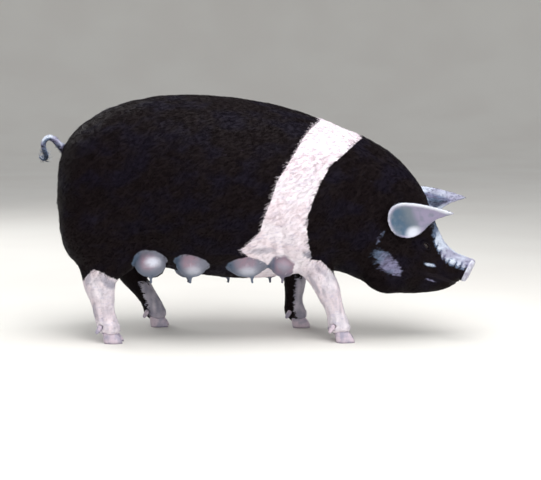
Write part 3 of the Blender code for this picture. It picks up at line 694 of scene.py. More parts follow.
@dataclass
class Eye:
    """An eyeball in its socket, with almond lids shaped from the skin round it."""

    side: Side
    half_length: float = 0.0165
    upper: float = 0.0078
    lower: float = 0.0062
    lid_thickness: float = 0.0022
    reach: float = 0.034
    lashes: int = 26
    centre: np.ndarray = field(init=False)
    radius: float = field(init=False)
    along: np.ndarray = field(init=False)
    up: np.ndarray = field(init=False)
    out: np.ndarray = field(init=False)

    def __post_init__(self) -> None:
        """Reads the eyeball's place from its node."""
        low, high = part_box(self.node)
        self.centre = np.array((low + high) / 2)
        self.radius = (high - low).x / 2

    @property
    def node(self) -> str:
        """The name of the eye's node."""
        return f"eye_{self.side.name.lower()}"

    def local(self, points: np.ndarray) -> np.ndarray:
        """Points as seen from the eye: forwards along the face, up and outwards."""
        return (points - self.centre) @ np.column_stack((self.along, self.up, self.out))

    def face(self, surface: Surface) -> None:
        """Reads which way the face looks round the eye, and clears a smooth patch for the lids.

        Args:
            surface: The skin.
        """
        gap = np.linalg.norm(surface.points - self.centre, axis=1)
        ring = (gap > 0.026) & (gap < 0.042)
        self.out = unit(surface.normals[ring].mean(axis=0))
        forwards = NECK.place((0.664, 0, 0.346)) - NECK.place((0.654, 0, 0.352))
        self.along = unit(forwards - self.out * (forwards @ self.out))
        self.up = np.cross(self.out, self.along)
        self.up *= np.sign(self.up[2])
        u, v, w = self.local(surface.points).T
        flat = np.hypot(u, v)
        front = w > -0.008
        ring = front & (flat > 0.024) & (flat < 0.040) & (gap < 0.050)
        self.fit = np.linalg.lstsq(self.terms(u[ring], v[ring]), w[ring], rcond=None)[0]
        share = fade(flat, self.reach, 0.022) * front * (gap < 0.055)
        surface.points += self.out * ((self.base(u, v) - w) * share)[:, None]

    def terms(self, u: np.ndarray, v: np.ndarray) -> np.ndarray:
        """The terms of the curved patch that stands for the smooth face."""
        return np.column_stack((np.ones(len(u)), u, v, u**2, u * v, v**2))

    def base(self, u: np.ndarray, v: np.ndarray) -> np.ndarray:
        """The height of the smooth face under the lids."""
        return self.terms(u, v) @ self.fit

    def margin(self, u: np.ndarray, v: np.ndarray) -> np.ndarray:
        """The distance outside the edge of the lids, negative in the opening between them."""
        bow = np.clip(1 - (u / self.half_length) ** 2, 0, 1) ** 0.7
        tilt = -0.10 * u
        high, low = tilt + self.upper * bow, tilt - self.lower * bow
        apart = np.maximum(v - high, low - v)
        beyond = np.clip(np.abs(u) - self.half_length, 0, None)
        return np.where(beyond > 0, np.hypot(beyond, np.abs(v - tilt)), apart)

    def shape(self, surface: Surface) -> None:
        """Raises the lids over the ball, with the folds above and below them.

        Args:
            surface: The skin, fine enough round the eye.
        """
        u, v, w = self.local(surface.points).T
        flat = np.hypot(u, v)
        near = (flat < self.reach) & (w > -0.010)
        u, v, w = u[near], v[near], w[near]
        apart = self.margin(u, v)
        ball = np.sqrt(np.clip(self.radius**2 - (0.86 * u) ** 2 - v**2, 0, None))
        lid_radius = self.radius + self.lid_thickness
        lid = np.sqrt(np.clip(lid_radius**2 - (0.66 * u) ** 2 - (0.92 * v) ** 2, 1e-8, None))
        base = self.base(u, v)
        outside = lid + (base - lid) * fade(apart, 0.0020, 0.0160)
        above = fade(v, -0.002, 0.003)
        within = fade(np.abs(u), self.half_length * 1.25, self.half_length * 0.7)
        outside -= 0.0013 * np.exp(-(((apart - 0.0070) / 0.0014) ** 2)) * (0.25 + 0.75 * above) * within
        outside += 0.0009 * np.exp(-(((apart - 0.0100) / 0.0024) ** 2)) * above * within
        inside = ball - 0.0030
        height = outside + (inside - outside) * fade(apart, 0.0003, -0.0016)
        share = fade(flat[near], self.reach, 0.024)
        surface.points[near] += self.out * ((height - w) * share)[:, None]

    def build(self, finish: Material) -> Object:
        """Makes the eyeball, with a bulging cornea and the angle from its gaze on each point.

        Args:
            finish: The eye's material.

        Returns:
            The eyeball.
        """
        bm = bmesh.new()
        bmesh.ops.create_uvsphere(bm, u_segments=40, v_segments=28, radius=1)
        turn = Matrix((self.along, np.cross(self.out, self.along), self.out)).transposed()
        angles = []
        for vertex in bm.verts:
            angle = math.acos(max(-1.0, min(1.0, vertex.co.z)))
            angles.append(angle)
            bulge = 0.07 * math.exp(-((angle / 0.42) ** 2))
            vertex.co = turn @ (vertex.co * self.radius * (0.985 + bulge))
            vertex.co += Vector(self.centre)
        bmesh.ops.recalc_face_normals(bm, faces=bm.faces)
        mesh = mesh_of(bm, "eyeball")
        mesh.shade_smooth()
        made = mesh.attributes.new("from_gaze", "FLOAT", "POINT")
        made.data.foreach_set("value", angles)
        obj = new_object(f"eyeball_{self.side.name.lower()}", mesh)
        mesh.materials.append(finish)
        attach(obj, BODY)
        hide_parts(self.node)
        return obj

    def build_lashes(self, finish: Material) -> Object:
        """Makes the bristly lashes of the upper lid.

        Args:
            finish: The lashes' material.

        Returns:
            The lashes as one piece.
        """
        draw = np.random.default_rng(7 + self.side.value)
        bm = bmesh.new()
        for i in range(self.lashes):
            u = self.half_length * (1.7 * (i + 0.5) / self.lashes - 0.92)
            bow = max(0.0, 1 - (u / self.half_length) ** 2) ** 0.7
            v = -0.10 * u + self.upper * bow
            lift = math.sqrt((self.radius + self.lid_thickness) ** 2 - (0.66 * u) ** 2 - v**2)
            root = self.centre + self.along * u + self.up * (v + 0.0002) + self.out * (lift - 0.0006)
            length = 0.0075 * draw.uniform(0.7, 1.15)
            way = unit(self.out * 0.8 + self.up * 0.05 + self.along * draw.normal(0, 0.22) - UP * 0.25)
            bend = root + way * length * 0.55 - UP * 0.0006
            tip = root + way * length + self.up * length * 0.28
            add_spike(bm, (root, bend, tip), 0.00042)
        mesh = mesh_of(bm, "lashes")
        mesh.materials.append(finish)
        obj = new_object(f"lashes_{self.side.name.lower()}", mesh)
        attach(obj, BODY)
        return obj


def add_spike(bm: BMesh, path: Sequence[np.ndarray], radius: float) -> None:
    """Adds one closed three-sided spike along a root, a bend and a tip.

    Args:
        bm: The mesh that it is added to.
        path: The root, the bend and the tip.
        radius: The spike's radius at its root.
    """
    root, bend, tip = (np.asarray(point, float) for point in path)
    way = unit(tip - root)
    across = unit(np.cross(way, (0.3, 0.9, 0.31)))
    over = np.cross(way, across)
    rings = []
    for middle, share in ((root, 1.0), (bend, 0.72)):
        corners = [
            middle + radius * share * (across * math.cos(a) + over * math.sin(a))
            for a in (0, 2 * math.pi / 3, 4 * math.pi / 3)
        ]
        rings.append([bm.verts.new(corner) for corner in corners])
    end = bm.verts.new(tip)
    bm.faces.new(rings[0][::-1])
    for i in range(3):
        one, two = rings[0][i], rings[0][(i + 1) % 3]
        three, four = rings[1][(i + 1) % 3], rings[1][i]
        bm.faces.new((one, two, three, four))
        bm.faces.new((four, three, end))


@dataclass(frozen=True)
class Markings:
    """The white belt and feet, seen from the side on the straight animal.

    Each edge of the belt is a list of x and z from its low end to the topline.
    """

    belt_rear: tuple[tuple[float, float], ...] = (
        (-0.026, 0.327), (-0.051, 0.350), (-0.004, 0.389), (0.020, 0.421), (0.038, 0.477), (0.062, 0.537),
        (0.080, 0.595), (0.101, 0.629), (0.138, 0.687), (0.178, 0.752), (0.208, 0.782), (0.256, 0.812),
    )
    belt_front: tuple[tuple[float, float], ...] = (
        (0.202, 0.333), (0.190, 0.377), (0.186, 0.433), (0.190, 0.475), (0.200, 0.509), (0.222, 0.564),
        (0.267, 0.649), (0.327, 0.689), (0.396, 0.737),
    )
    hind_right_top: tuple[tuple[float, float], ...] = (
        (-0.660, 0.214), (-0.620, 0.230), (-0.596, 0.262), (-0.573, 0.278), (-0.540, 0.262),
        (-0.490, 0.229), (-0.450, 0.216),
    )
    hind_left_top: float = 0.172
    fore_left_top: float = 0.196

    def white(self, surface: Surface, legs: dict[Foot, np.ndarray]) -> np.ndarray:
        """The distance inside the white markings, negative outside them.

        Args:
            surface: The skin.
            legs: How far each point belongs to each leg, from 0 to 1.

        Returns:
            A distance in metres for each point.
        """
        x, _, z = surface.straight.T
        rear = np.interp(z, *np.array(self.belt_rear).T[::-1])
        front = np.interp(z, *np.array(self.belt_front).T[::-1])
        belt = np.minimum(x - rear, front - x) * 0.88
        belt = np.minimum(belt, (z - 0.34) * 0.5 - 0.1 * (legs[Foot.FORE_LEFT] - 1))
        line = ((z - 0.352) * 0.08 + (x - 0.186) * 0.082) / 0.1146
        fore = np.minimum((legs[Foot.FORE_RIGHT] - 0.42) * 0.10, 0.004 - line)
        hind_top = np.interp(x, *np.array(self.hind_right_top).T)
        hind = np.minimum((legs[Foot.HIND_RIGHT] - 0.5) * 0.10, (hind_top - z) * 0.8)
        parts = [belt, fore, hind]
        for foot, top, back, lean in (
            (Foot.HIND_LEFT, self.hind_left_top, 0.036, 0.26),
            (Foot.FORE_LEFT, self.fore_left_top, 0.006, 0.05),
        ):
            line = np.array(LEG_LINES[foot].line)[::-1]
            ahead = x - np.interp(z, line[:, 1], line[:, 0]) + back - lean * z
            parts.append(np.min(((legs[foot] - 0.5) * 0.10, (top - z) * 0.3, ahead * 0.4), axis=0))
        return np.clip(np.max(parts, axis=0), -0.06, 0.06)


@dataclass(frozen=True)
class GlandRow:
    """The glands along one side of the udder, as their middles and half lengths along the body."""

    side: Side
    aside: float
    height: float
    glands: tuple[tuple[float, float], ...]
    teats: tuple[float, ...]
    # the lights are painted highlights: each gland's pale patch, its place and strength
    lights: tuple[tuple[float, float, float], ...]  # the pale patch's place and strength on each
    half_size: tuple[float, float] = (0.048, 0.051)

    def local(self, surface: Surface) -> tuple[np.ndarray, np.ndarray]:
        """Places seen from the middle of the nearest gland in its half sizes, and its number."""
        middles = [(middle, self.side.value * self.aside, self.height) for middle, _ in self.glands]
        halves = [(half_length, *self.half_size) for _, half_length in self.glands]
        offsets = (surface.straight[None] - np.array(middles)[:, None]) / np.array(halves)[:, None]
        nearest = np.argmin(np.linalg.norm(offsets, axis=2), axis=0)
        return offsets[nearest, np.arange(len(nearest))], nearest

    def gaps(self, surface: Surface) -> np.ndarray:
        """How far out each point lies from its nearest gland: 1 on the gland's own round surface."""
        return np.linalg.norm(self.local(surface)[0], axis=1)

    def tints(self, surface: Surface) -> np.ndarray:
        """Where the glands carry a painted highlight, painted blue-grey shade and pink, as three shares for
        each point.
        """
        offset, nearest = self.local(surface)
        along, _, up = offset.T
        here = fade(np.linalg.norm(offset, axis=1), 1.7, 1.5)
        ahead, rise, strength = np.array(self.lights)[nearest].T
        # painted highlight: a pale patch on each gland
        light = strength * fade(np.hypot((along - ahead) / 0.44, (up - rise) / 0.34), 1.5, 0.4)
        # painted shade: blue grey on the back and the underside of each gland
        blue = np.maximum(fade(along, -0.35, -0.85), 0.6 * fade(up, -0.25, -0.85))
        pink = fade(np.hypot((along + 0.10) / 0.62, (up - 0.22) / 0.60), 1.3, 0.5)
        return here * np.array((light, blue, pink))

    def teat(self, surface: Surface) -> np.ndarray:
        """How far each point belongs to a teat, from 0 to 1."""
        x, y, z = surface.straight.T
        low = self.height - self.half_size[1]
        nearest = np.min([np.abs(x - teat) for teat in self.teats], axis=0)
        reach = np.hypot(nearest, y - self.side.value * self.aside)
        return fade(reach, 0.022, 0.015) * fade(z, low + 0.010, low + 0.001)


GLAND_ROWS = (
    GlandRow(
        Side.RIGHT, 0.178, 0.292, ((-0.378, 0.058), (-0.228, 0.060), (-0.030, 0.070), (0.104, 0.052)),
        (-0.376, -0.234, -0.010, 0.098),
        ((0.22, 0.20, 0.95), (0.15, -0.42, 0.55), (0.10, -0.48, 0.60), (0.0, 0.0, 0.15)),
    ),
    GlandRow(
        Side.LEFT, 0.150, 0.240, ((-0.400, 0.056), (-0.262, 0.058), (-0.112, 0.060), (0.050, 0.058)),
        (-0.400, -0.262, -0.108, 0.054),
        ((0.20, 0.20, 0.60), (0.15, -0.30, 0.50), (0.15, 0.10, 0.50), (0.0, -0.20, 0.40)),
    ),
)


def gland_gaps(surface: Surface) -> np.ndarray:
    """How far out each point lies from its nearest gland: 1 on the gland's own round surface."""
    return np.min([row.gaps(surface) for row in GLAND_ROWS], axis=0)


def teat_shares(surface: Surface) -> np.ndarray:
    """How far each point belongs to a teat, from 0 to 1."""
    return np.max([row.teat(surface) for row in GLAND_ROWS], axis=0)


@dataclass(frozen=True)
class Patch:
    """A soft patch seen from the side on the straight animal: painted highlight and sheen, drawn as grey
    and white hairs in the black, and painted shade in the white.
    """

    middle: tuple[float, float]
    half_size: tuple[float, float]
    slope: float  # how steeply its long way rises towards the snout, in degrees
    share: float
    side: Side | None = None

    def weight(self, surface: Surface) -> np.ndarray:
        """How strongly each point carries this patch, from 0 to 1."""
        x, y, z = surface.straight.T
        turn = math.radians(self.slope)
        ahead, rise = x - self.middle[0], z - self.middle[1]
        along = (ahead * math.cos(turn) + rise * math.sin(turn)) / self.half_size[0]
        across = (rise * math.cos(turn) - ahead * math.sin(turn)) / self.half_size[1]
        weight = self.share * fade(np.hypot(along, across), 1.25, 0.65)
        weight *= fade(np.abs(surface.straight_normals[:, 1]), 0.1, 0.35)
        return weight * (y * self.side.value > 0) if self.side else weight


# Painted highlights and sheen, drawn as grey and white hairs: the jowl, the strips behind the ear and on
# the neck, the corner of the mouth and the lower lip
PAINTED_SHEEN_PATCHES = (
    Patch((0.513, 0.296), (0.080, 0.034), -38, 0.66),
    Patch((0.486, 0.390), (0.042, 0.010), 54, 0.48),
    Patch((0.420, 0.608), (0.085, 0.020), -22, 0.16),
    Patch((0.668, 0.283), (0.024, 0.0070), -16, 0.86),
    Patch((0.670, 0.224), (0.022, 0.0050), -26, 0.60),
)
# Painted blue-grey shade on the white: the belt's low rear corner, the elbow, the forearm and the hock
PAINTED_SHADES = (
    Patch((0.030, 0.346), (0.050, 0.012), 4, 0.60),
    Patch((0.199, 0.330), (0.026, 0.014), -30, 0.90),
    Patch((0.238, 0.272), (0.036, 0.010), -48, 0.60),
    Patch((0.212, 0.222), (0.050, 0.008), -60, 0.70),
    Patch((0.302, 0.222), (0.036, 0.007), -75, 0.45),
    Patch((-0.524, 0.222), (0.036, 0.016), -40, 0.85),
    Patch((-0.600, 0.236), (0.028, 0.011), 75, 0.70),
    Patch((-0.583, 0.110), (0.048, 0.009), 84, 0.75),
)
# The low edge of the grey and white blaze on the side of the face, as x and z: a painted highlight along
# the bridge, drawn as pale hairs
BLAZE_EDGE = (
    (0.655, 0.430), (0.670, 0.379), (0.687, 0.336), (0.708, 0.298), (0.729, 0.279), (0.754, 0.270),
    (0.800, 0.258),
)
MOUTH_LINE = (
    (0.655, 0.252), (0.662, 0.248), (0.690, 0.238), (0.720, 0.226), (0.745, 0.214), (0.763, 0.206),
    (0.772, 0.203),
)
TAIL_LINE = (
    (-0.668, 0, 0.652), (-0.744, -0.010, 0.732), (-0.768, -0.020, 0.736), (-0.775, -0.016, 0.684),
    (-0.800, 0.002, 0.668),
)


@dataclass
class Skin:
    """Her one skin: the flesh solids joined, smoothed, folded and sunk by the depth of the coat."""

    voxel: float = 0.0026
    overlap: float = 0.0004
    even_rounds: int = 5
    broad_rounds: int = 110
    triangles: int = 150_000
    depth_body: float = 0.0026
    depth_face: float = 0.0010
    ears: Ears = field(default_factory=Ears)
    snout: Snout = field(default_factory=Snout)
    markings: Markings = field(default_factory=Markings)
    eyes: tuple[Eye, Eye] = field(default_factory=lambda: (Eye(Side.LEFT), Eye(Side.RIGHT)))

    def gather(self) -> Surface:
        """Joins the flesh nodes into one closed surface with no seams.

        Returns:
            The surface, finer than it needs to be.
        """
        joined = bmesh.new()
        for name in frame["nodes"]:
            if name.split("_")[0] not in FLESH_WORDS:
                continue
            bm = merged_copy(name)
            for vertex in bm.verts:
                vertex.co += vertex.normal * self.overlap
            join_into(joined, bm, name)
        obj = new_object("skin", mesh_of(joined, "skin"))
        applied(obj, "REMESH", mode="VOXEL", voxel_size=self.voxel)
        applied(obj, "SMOOTH", iterations=self.even_rounds, factor=0.5)
        return Surface(obj)

    def weigh(self, surface: Surface, name: str, weights: np.ndarray) -> None:
        """Keeps weights in a vertex group, in steps of one fortieth."""
        group = surface.obj.vertex_groups.new(name=name)
        steps = np.round(weights * 40).astype(int)
        for step in np.unique(steps):
            group.add(np.nonzero(steps == step)[0].tolist(), step / 40, "REPLACE")

    def thin(self, surface: Surface) -> Surface:
        """Smooths the broad forms, sinks them by the coat, and thins all but the head and feet.

        Args:
            surface: The gathered surface.

        Returns:
            The thinned surface.
        """
        x, _, z = surface.straight.T
        broad = fade(x, 0.62, 0.50) * fade(z, 0.16, 0.30) * fade(gland_gaps(surface), 1.15, 1.45)
        broad *= (1 - teat_shares(surface)) * (1 - self.ears.near(self.ears.measure(surface)))
        self.weigh(surface, "broad", broad * fade(x, -0.74, -0.70))
        obj = surface.obj
        applied(obj, "SMOOTH", iterations=self.broad_rounds, factor=0.5, vertex_group="broad")
        surface = Surface(obj)
        depth = self.depth_face + (self.depth_body - self.depth_face) * broad
        surface.raise_by(-depth * fade(surface.straight[:, 0], 0.77, 0.70))
        surface.measure()
        obj.vertex_groups.clear()
        fine = np.maximum(fade(x, 0.46, 0.60), 0.55 * fade(z, 0.28, 0.16))
        fine = np.maximum(fine, 0.8 * fade(x, -0.70, -0.73))
        self.weigh(surface, "spare", 0.56 - 0.48 * fine)
        count = sum(len(face.vertices) - 2 for face in obj.data.polygons)
        applied(
            obj, "DECIMATE", ratio=self.triangles / count, use_collapse_triangulate=True,
            vertex_group="spare", vertex_group_factor=1.0,
        )
        obj.vertex_groups.clear()
        return Surface(obj)

    def refine(self, surface: Surface, wanted: np.ndarray) -> None:
        """Halves the edges of the surface where that is wanted.

        Args:
            surface: The surface.
            wanted: True for each point whose edges are halved.
        """
        bm = bmesh.new()
        bm.from_mesh(surface.obj.data)
        bm.verts.ensure_lookup_table()
        bm.edges.ensure_lookup_table()
        picked = np.nonzero(wanted[surface.edges].all(axis=1))[0]
        edges = [bm.edges[i] for i in picked]
        bmesh.ops.subdivide_edges(bm, edges=edges, cuts=1, use_grid_fill=True)
        bmesh.ops.triangulate(bm, faces=bm.faces)
        bm.to_mesh(surface.obj.data)
        bm.free()
        surface.read()

    def refine_face(self, surface: Surface) -> None:
        """Makes the surface finer round the eyes, the disc and the mouth, and smooth there again."""
        for reach, eye_reach in ((0.038, 0.036), (0.0, 0.030)):
            wanted = np.zeros(len(surface.points), bool)
            for eye in self.eyes:
                wanted |= np.linalg.norm(surface.points - eye.centre, axis=1) < eye_reach
            _, _, out = self.snout.measure(surface)
            if reach:
                wanted |= out > -reach * 0.4
            self.refine(surface, wanted)
            near = np.zeros(len(surface.points))
            for eye in self.eyes:
                gap = np.linalg.norm(surface.points - eye.centre, axis=1)
                near = np.maximum(near, fade(gap, 0.036, 0.026))
            _, _, out = self.snout.measure(surface)
            surface.relax(4, 0.5 * np.maximum(near, 0.5 * fade(out, -0.02, -0.01)))

    def fold(self, surface: Surface) -> None:
        """Presses the folds, wrinkles and cords of the skin into the surface.

        Args:
            surface: The skin.
        """
        x, y, z = surface.straight.T
        heights = sum(crease.heights(surface) for crease in CREASES)
        gap, along = distance_to_path(surface.straight[:, (0, 2)], smooth_path(MOUTH_LINE))
        gap = np.where((x > 0.64) & (x < 0.80), gap, 1.0)
        groove = 0.0012 * np.exp(-(((gap - 0.0068) / 0.003) ** 2)) - 0.0034 * np.exp(-((gap / 0.0026) ** 2))
        heights += groove * fade(along, 0.0, 0.12)
        bridge = fade(x, 0.660, 0.690) * fade(x, 0.795, 0.780)
        bridge *= fade(surface.straight_normals[:, 2], -0.1, 0.4)
        heights += 0.0010 * self.across_bridge(surface, 0.013) * bridge
        brow = fade(x, 0.585, 0.605) * fade(x, 0.672, 0.655) * fade(z, 0.385, 0.405) * fade(z, 0.52, 0.47)
        brow *= fade(np.abs(y), 0.062, 0.045)
        level = z - 0.4 * x + 0.003 * waves(surface.straight, 0.05, 6)
        heights += 0.0009 * np.cos(2 * math.pi * level / 0.017) * brow
        jowl = np.exp(-(((x - 0.52) / 0.08) ** 2 + ((z - 0.26) / 0.06) ** 2))
        heights += 0.0007 * waves(surface.straight, 0.022, 12) * jowl
        trunk = fade(x, 0.55, 0.45) * fade(z, 0.20, 0.32)
        swell = 0.0012 * waves(surface.straight, 0.11, 3) + 0.0005 * waves(surface.straight, 0.045, 4)
        heights += swell * trunk
        rim = np.exp(-(((gland_gaps(surface) - 1.20) / 0.09) ** 2))
        heights -= 0.0034 * rim * fade(surface.straight_normals[:, 2], 0.9, 0.5)
        heights += self.leg_wrinkles(surface)
        heights += self.ear_ribs(surface)
        surface.raise_by(heights)
        surface.measure()

    def leg_wrinkles(self, surface: Surface) -> np.ndarray:
        """Wrinkles round the knees, hocks and pasterns, and the hollow before the tendon."""
        x, y, z = surface.straight.T
        heights = np.zeros(len(x))
        for leg in LEG_LINES.values():
            line = np.array(leg.line)[::-1]
            middle = np.interp(z, line[:, 1], line[:, 0])
            near = (np.abs(x - middle) < 0.075) & (y * leg.side.value > 0.05) & (z < 0.27)
            level = z + 0.25 * (x - middle) + 0.0015 * waves(surface.points, 0.03, 21)
            for height in leg.wrinkles:
                heights -= near * 0.0015 * np.exp(-(((level - height) / 0.0042) ** 2))
            hollow = np.exp(-(((x - middle + 0.010) / 0.006) ** 2))
            hollow *= fade(z, 0.075, 0.095) * fade(z, 0.175, 0.155)
            heights -= near * 0.0024 * hollow * fade(np.abs(surface.normals[:, 1]), 0.3, 0.8)
            heights += near * 0.0012 * np.exp(-(((z - 0.050) / 0.006) ** 2))
        return heights

    def ear_ribs(self, surface: Surface) -> np.ndarray:
        """Long ribs inside the bowl of each ear, and a roll along its rim."""
        places = self.ears.measure(surface)
        turn = np.arctan2(places.up, places.along + 0.03)
        ribs = np.cos(turn * 8.0 + 0.6 * waves(surface.points, 0.05, 31))
        fits = self.on_ear * places.inside
        ribs *= self.ears.rib * fade(places.share, 0.20, 0.45) * fade(places.share, 0.92, 0.75)
        return fits * (ribs + 0.0011 * np.exp(-(((places.share - 0.94) / 0.06) ** 2)))

    def label(self, surface: Surface) -> dict[str, np.ndarray]:
        """Finds which node each point came from.

        Args:
            surface: The skin.

        Returns:
            For each flesh node, how far each point belongs to it, from 0 to 1.
        """
        corners, faces, owners, names = [], [], [], []
        for name, node in frame["nodes"].items():
            if name.split("_")[0] in FLESH_WORDS:
                start = len(corners)
                corners.extend(vertex.co[:] for vertex in node.data.vertices)
                faces.extend([start + i for i in face.vertices] for face in node.data.polygons)
                owners.extend([len(names)] * len(node.data.polygons))
                names.append(name)
        tree = BVHTree.FromPolygons(corners, faces)
        owner = np.array([owners[tree.find_nearest(point)[2]] for point in surface.points])
        return {name: (owner == i).astype(float) for i, name in enumerate(names)}

    def lie(self, surface: Surface, ear_way: np.ndarray) -> np.ndarray:
        """The way the hair lies at each point, along the surface.

        Args:
            surface: The skin.
            ear_way: The ears' own direction at each point.

        Returns:
            A direction for each point in the frame.
        """
        parts = self.parts
        x, y, z = surface.straight.T
        side = np.abs(surface.straight_normals[:, 1])
        ways = np.column_stack((-np.ones(len(x)), 0 * x, -0.42 * side))
        face = fade(x, 0.56, 0.64)[:, None]
        ways = ways * (1 - face) + np.array((-0.86, 0.0, 0.34)) * face
        legs = sum(share for name, share in parts.items() if name.startswith("leg"))
        down = (surface.soften(legs, 4) * fade(z, 0.36, 0.26))[:, None]
        ways = ways * (1 - down) + np.array((-0.22, 0.0, -1.0)) * down
        ears = self.on_ear[:, None]
        ways = ways * (1 - ears) + ear_way * ears
        tail_path = smooth_path(TAIL_LINE)
        tail = parts["tail"] > 0.5
        _, along = distance_to_path(surface.straight[tail], tail_path)
        at = np.clip(along * (len(tail_path) - 1), 0, len(tail_path) - 2).astype(int)
        ways[tail] = np.diff(tail_path, axis=0)[at]
        ways += 0.16 * np.column_stack([waves(surface.points, 0.16, seed) for seed in (61, 62, 63)])
        ways = surface.soften(unit(ways), 5)
        ways = NECK.swing(ways, surface.turn)
        ways -= surface.normals * np.sum(ways * surface.normals, axis=1)[:, None]
        return unit(ways)

    def mark(self, surface: Surface) -> None:
        """Stores what the finishes and the coat read: markings, bare skin, tints, and the hair's lie.

        Args:
            surface: The finished skin.
        """
        self.parts = self.label(surface)
        soft = {name: surface.soften(share, 5) for name, share in self.parts.items()}
        z = surface.straight[:, 2]
        legs = {foot: surface.soften(self.parts[f"leg_{foot.value}"], 12) for foot in Foot}
        places = self.ears.measure(surface)
        bare = self.bare_skin(surface, soft, places)
        # Painted shade on the white legs: the far legs' white dims strongly to grey and the near legs'
        # white a little, along streaks
        far = np.maximum(legs[Foot.HIND_LEFT], legs[Foot.FORE_LEFT]) * fade(z, 0.34, 0.24)
        near = np.maximum(legs[Foot.HIND_RIGHT], legs[Foot.FORE_RIGHT]) * fade(z, 0.34, 0.24)
        streaks = waves(surface.straight * (1.0, 1.0, 0.4), 0.022, 71)
        far *= 0.82 + 0.22 * streaks
        painted_shades = [near * (0.24 + 0.18 * streaks)] + [patch.weight(surface) for patch in PAINTED_SHADES]
        gland_light, gland_blue, gland_pink = np.max([row.tints(surface) for row in GLAND_ROWS], axis=0)
        tints = {
            "white": self.markings.white(surface, legs),
            "bare": np.max(list(bare.values()), axis=0),
            "grizzle": self.grizzle(surface, soft, places),
            "dim": np.clip(np.max((far, *painted_shades), axis=0), 0, 1),
            "ear_teal": fade(places.along, 0.030, -0.020) * fade(places.share, 0.92, 0.74),
            "ear_lilac": np.maximum(fade(places.along, 0.022, 0.052), fade(places.share, 0.74, 0.90)),
            "ear_light": self.ear_light(places),
            "gland_light": gland_light,
            "gland_blue": gland_blue,
            "gland_blush": np.maximum(gland_pink, fade(surface.straight[:, 0], 0.045, 0.075)),
            "lie": self.lie(surface, places.way),
        }
        for name, values in (tints | bare).items():
            surface.store(name, values)
        self.density = self.grow(surface, soft, legs, bare)

    def bare_skin(
        self, surface: Surface, soft: dict[str, np.ndarray], places: EarPlaces
    ) -> dict[str, np.ndarray]:
        """Finds the skin that has little or no hair.

        Args:
            surface: The finished skin.
            soft: How far each point belongs to each node.
            places: Where points lie on the ears.

        Returns:
            How far each point is the snout's disc, a gland, the bowl of an ear, a lid or a lip.
        """
        x = surface.straight[:, 0]
        across, rise, out = self.snout.measure(surface)
        edge = self.snout.edge(across, rise)
        snout = fade(out, -0.0050, -0.0010) * fade(edge, 1.45, 1.15)
        gaps = gland_gaps(surface) + 0.03 * waves(surface.points, 0.03, 8)
        soft_edge = fade(x, 0.040, 0.080)  # the front gland runs into the pink belly
        glands = fade((gaps - 1.12) / (0.06 + 0.26 * soft_edge), 1.0, -1.0)
        glands = np.maximum(glands, teat_shares(surface)) * fade(soft["udder"], 0.1, 0.4)
        lid = np.zeros(len(x))
        for eye in self.eyes:
            u, v, w = eye.local(surface.points).T
            rim = fade(eye.margin(u, v), 0.0035, 0.0008) * (np.hypot(u, v) < 0.03) * (w > 0)
            lid = np.maximum(lid, rim)
        gap, _ = distance_to_path(surface.straight[:, (0, 2)], smooth_path(MOUTH_LINE))
        lips = fade(gap, 0.0085, 0.0040) * (x > 0.655) * (1 - snout)
        return {
            "snout": snout, "gland": glands, "ear": self.on_ear * places.inside, "lid": lid, "lips": lips,
        }

    def ear_light(self, places: EarPlaces) -> np.ndarray:
        """How much each point of the ears' bowls carries painted highlight: the upper rim, and a patch low
        in the bowl.
        """
        upper = fade(places.share, 0.84, 0.95) * fade(places.up, -0.004, 0.012)
        upper *= 0.45 + 0.55 * fade(places.along, -0.030, 0.010)
        low = np.hypot((places.along - 0.008) / 0.030, (places.up + 0.027) / 0.017)
        return np.maximum(upper, 0.90 * fade(low, 1.35, 0.3))

    def grizzle(self, surface: Surface, soft: dict[str, np.ndarray], places: EarPlaces) -> np.ndarray:
        """Finds where grey and white hairs stand among the black: grey hair on the backs of the ears and
        the tail, and painted highlights and sheen on the face, the jowl and the neck.

        Args:
            surface: The finished skin.
            soft: How far each point belongs to each node.
            places: Where points lie on the ears.

        Returns:
            How grey each point is, from 0 to 1.
        """
        x, _, z = surface.straight.T
        inner = z - np.interp(x, *np.array(BLAZE_EDGE).T)
        # the blaze is a painted highlight along the bridge of the nose, drawn as pale hairs
        blaze = fade(inner, -0.014, 0.018) * fade(x, 0.640, 0.690) * (1 - self.on_ear)
        # painted shade in the wrinkles across the blaze, and the blaze is less pale towards the top
        painted_wrinkle_shade = fade(self.across_bridge(surface, 0.021), 0.0, -0.8) * fade(inner, 0.044, 0.008)
        blaze *= 0.98 - 0.55 * painted_wrinkle_shade - 0.20 * fade(z, 0.34, 0.42)
        # the backs of the ears are grey, paler towards the rim as a painted highlight
        outer_ear = (0.56 + 0.44 * fade(places.share, 0.62, 0.90)) * self.on_ear * (1 - places.inside)
        # the tail is grey, paler on its upper side as a painted highlight
        tail = soft["tail"] * (0.50 + 0.46 * fade(surface.straight_normals[:, 2], -0.3, 0.5))
        patches = [patch.weight(surface) for patch in PAINTED_SHEEN_PATCHES]
        return np.max((blaze, outer_ear, tail, *patches), axis=0)

    def across_bridge(self, surface: Surface, spacing: float) -> np.ndarray:
        """Waves across the bridge of the nose, 1 on the ridges and -1 in the wrinkles between them."""
        x, _, z = surface.straight.T
        level = x * 0.93 - z * 0.36 + 0.0024 * waves(surface.straight, 0.03, 5)
        return np.cos(2 * math.pi * level / spacing)

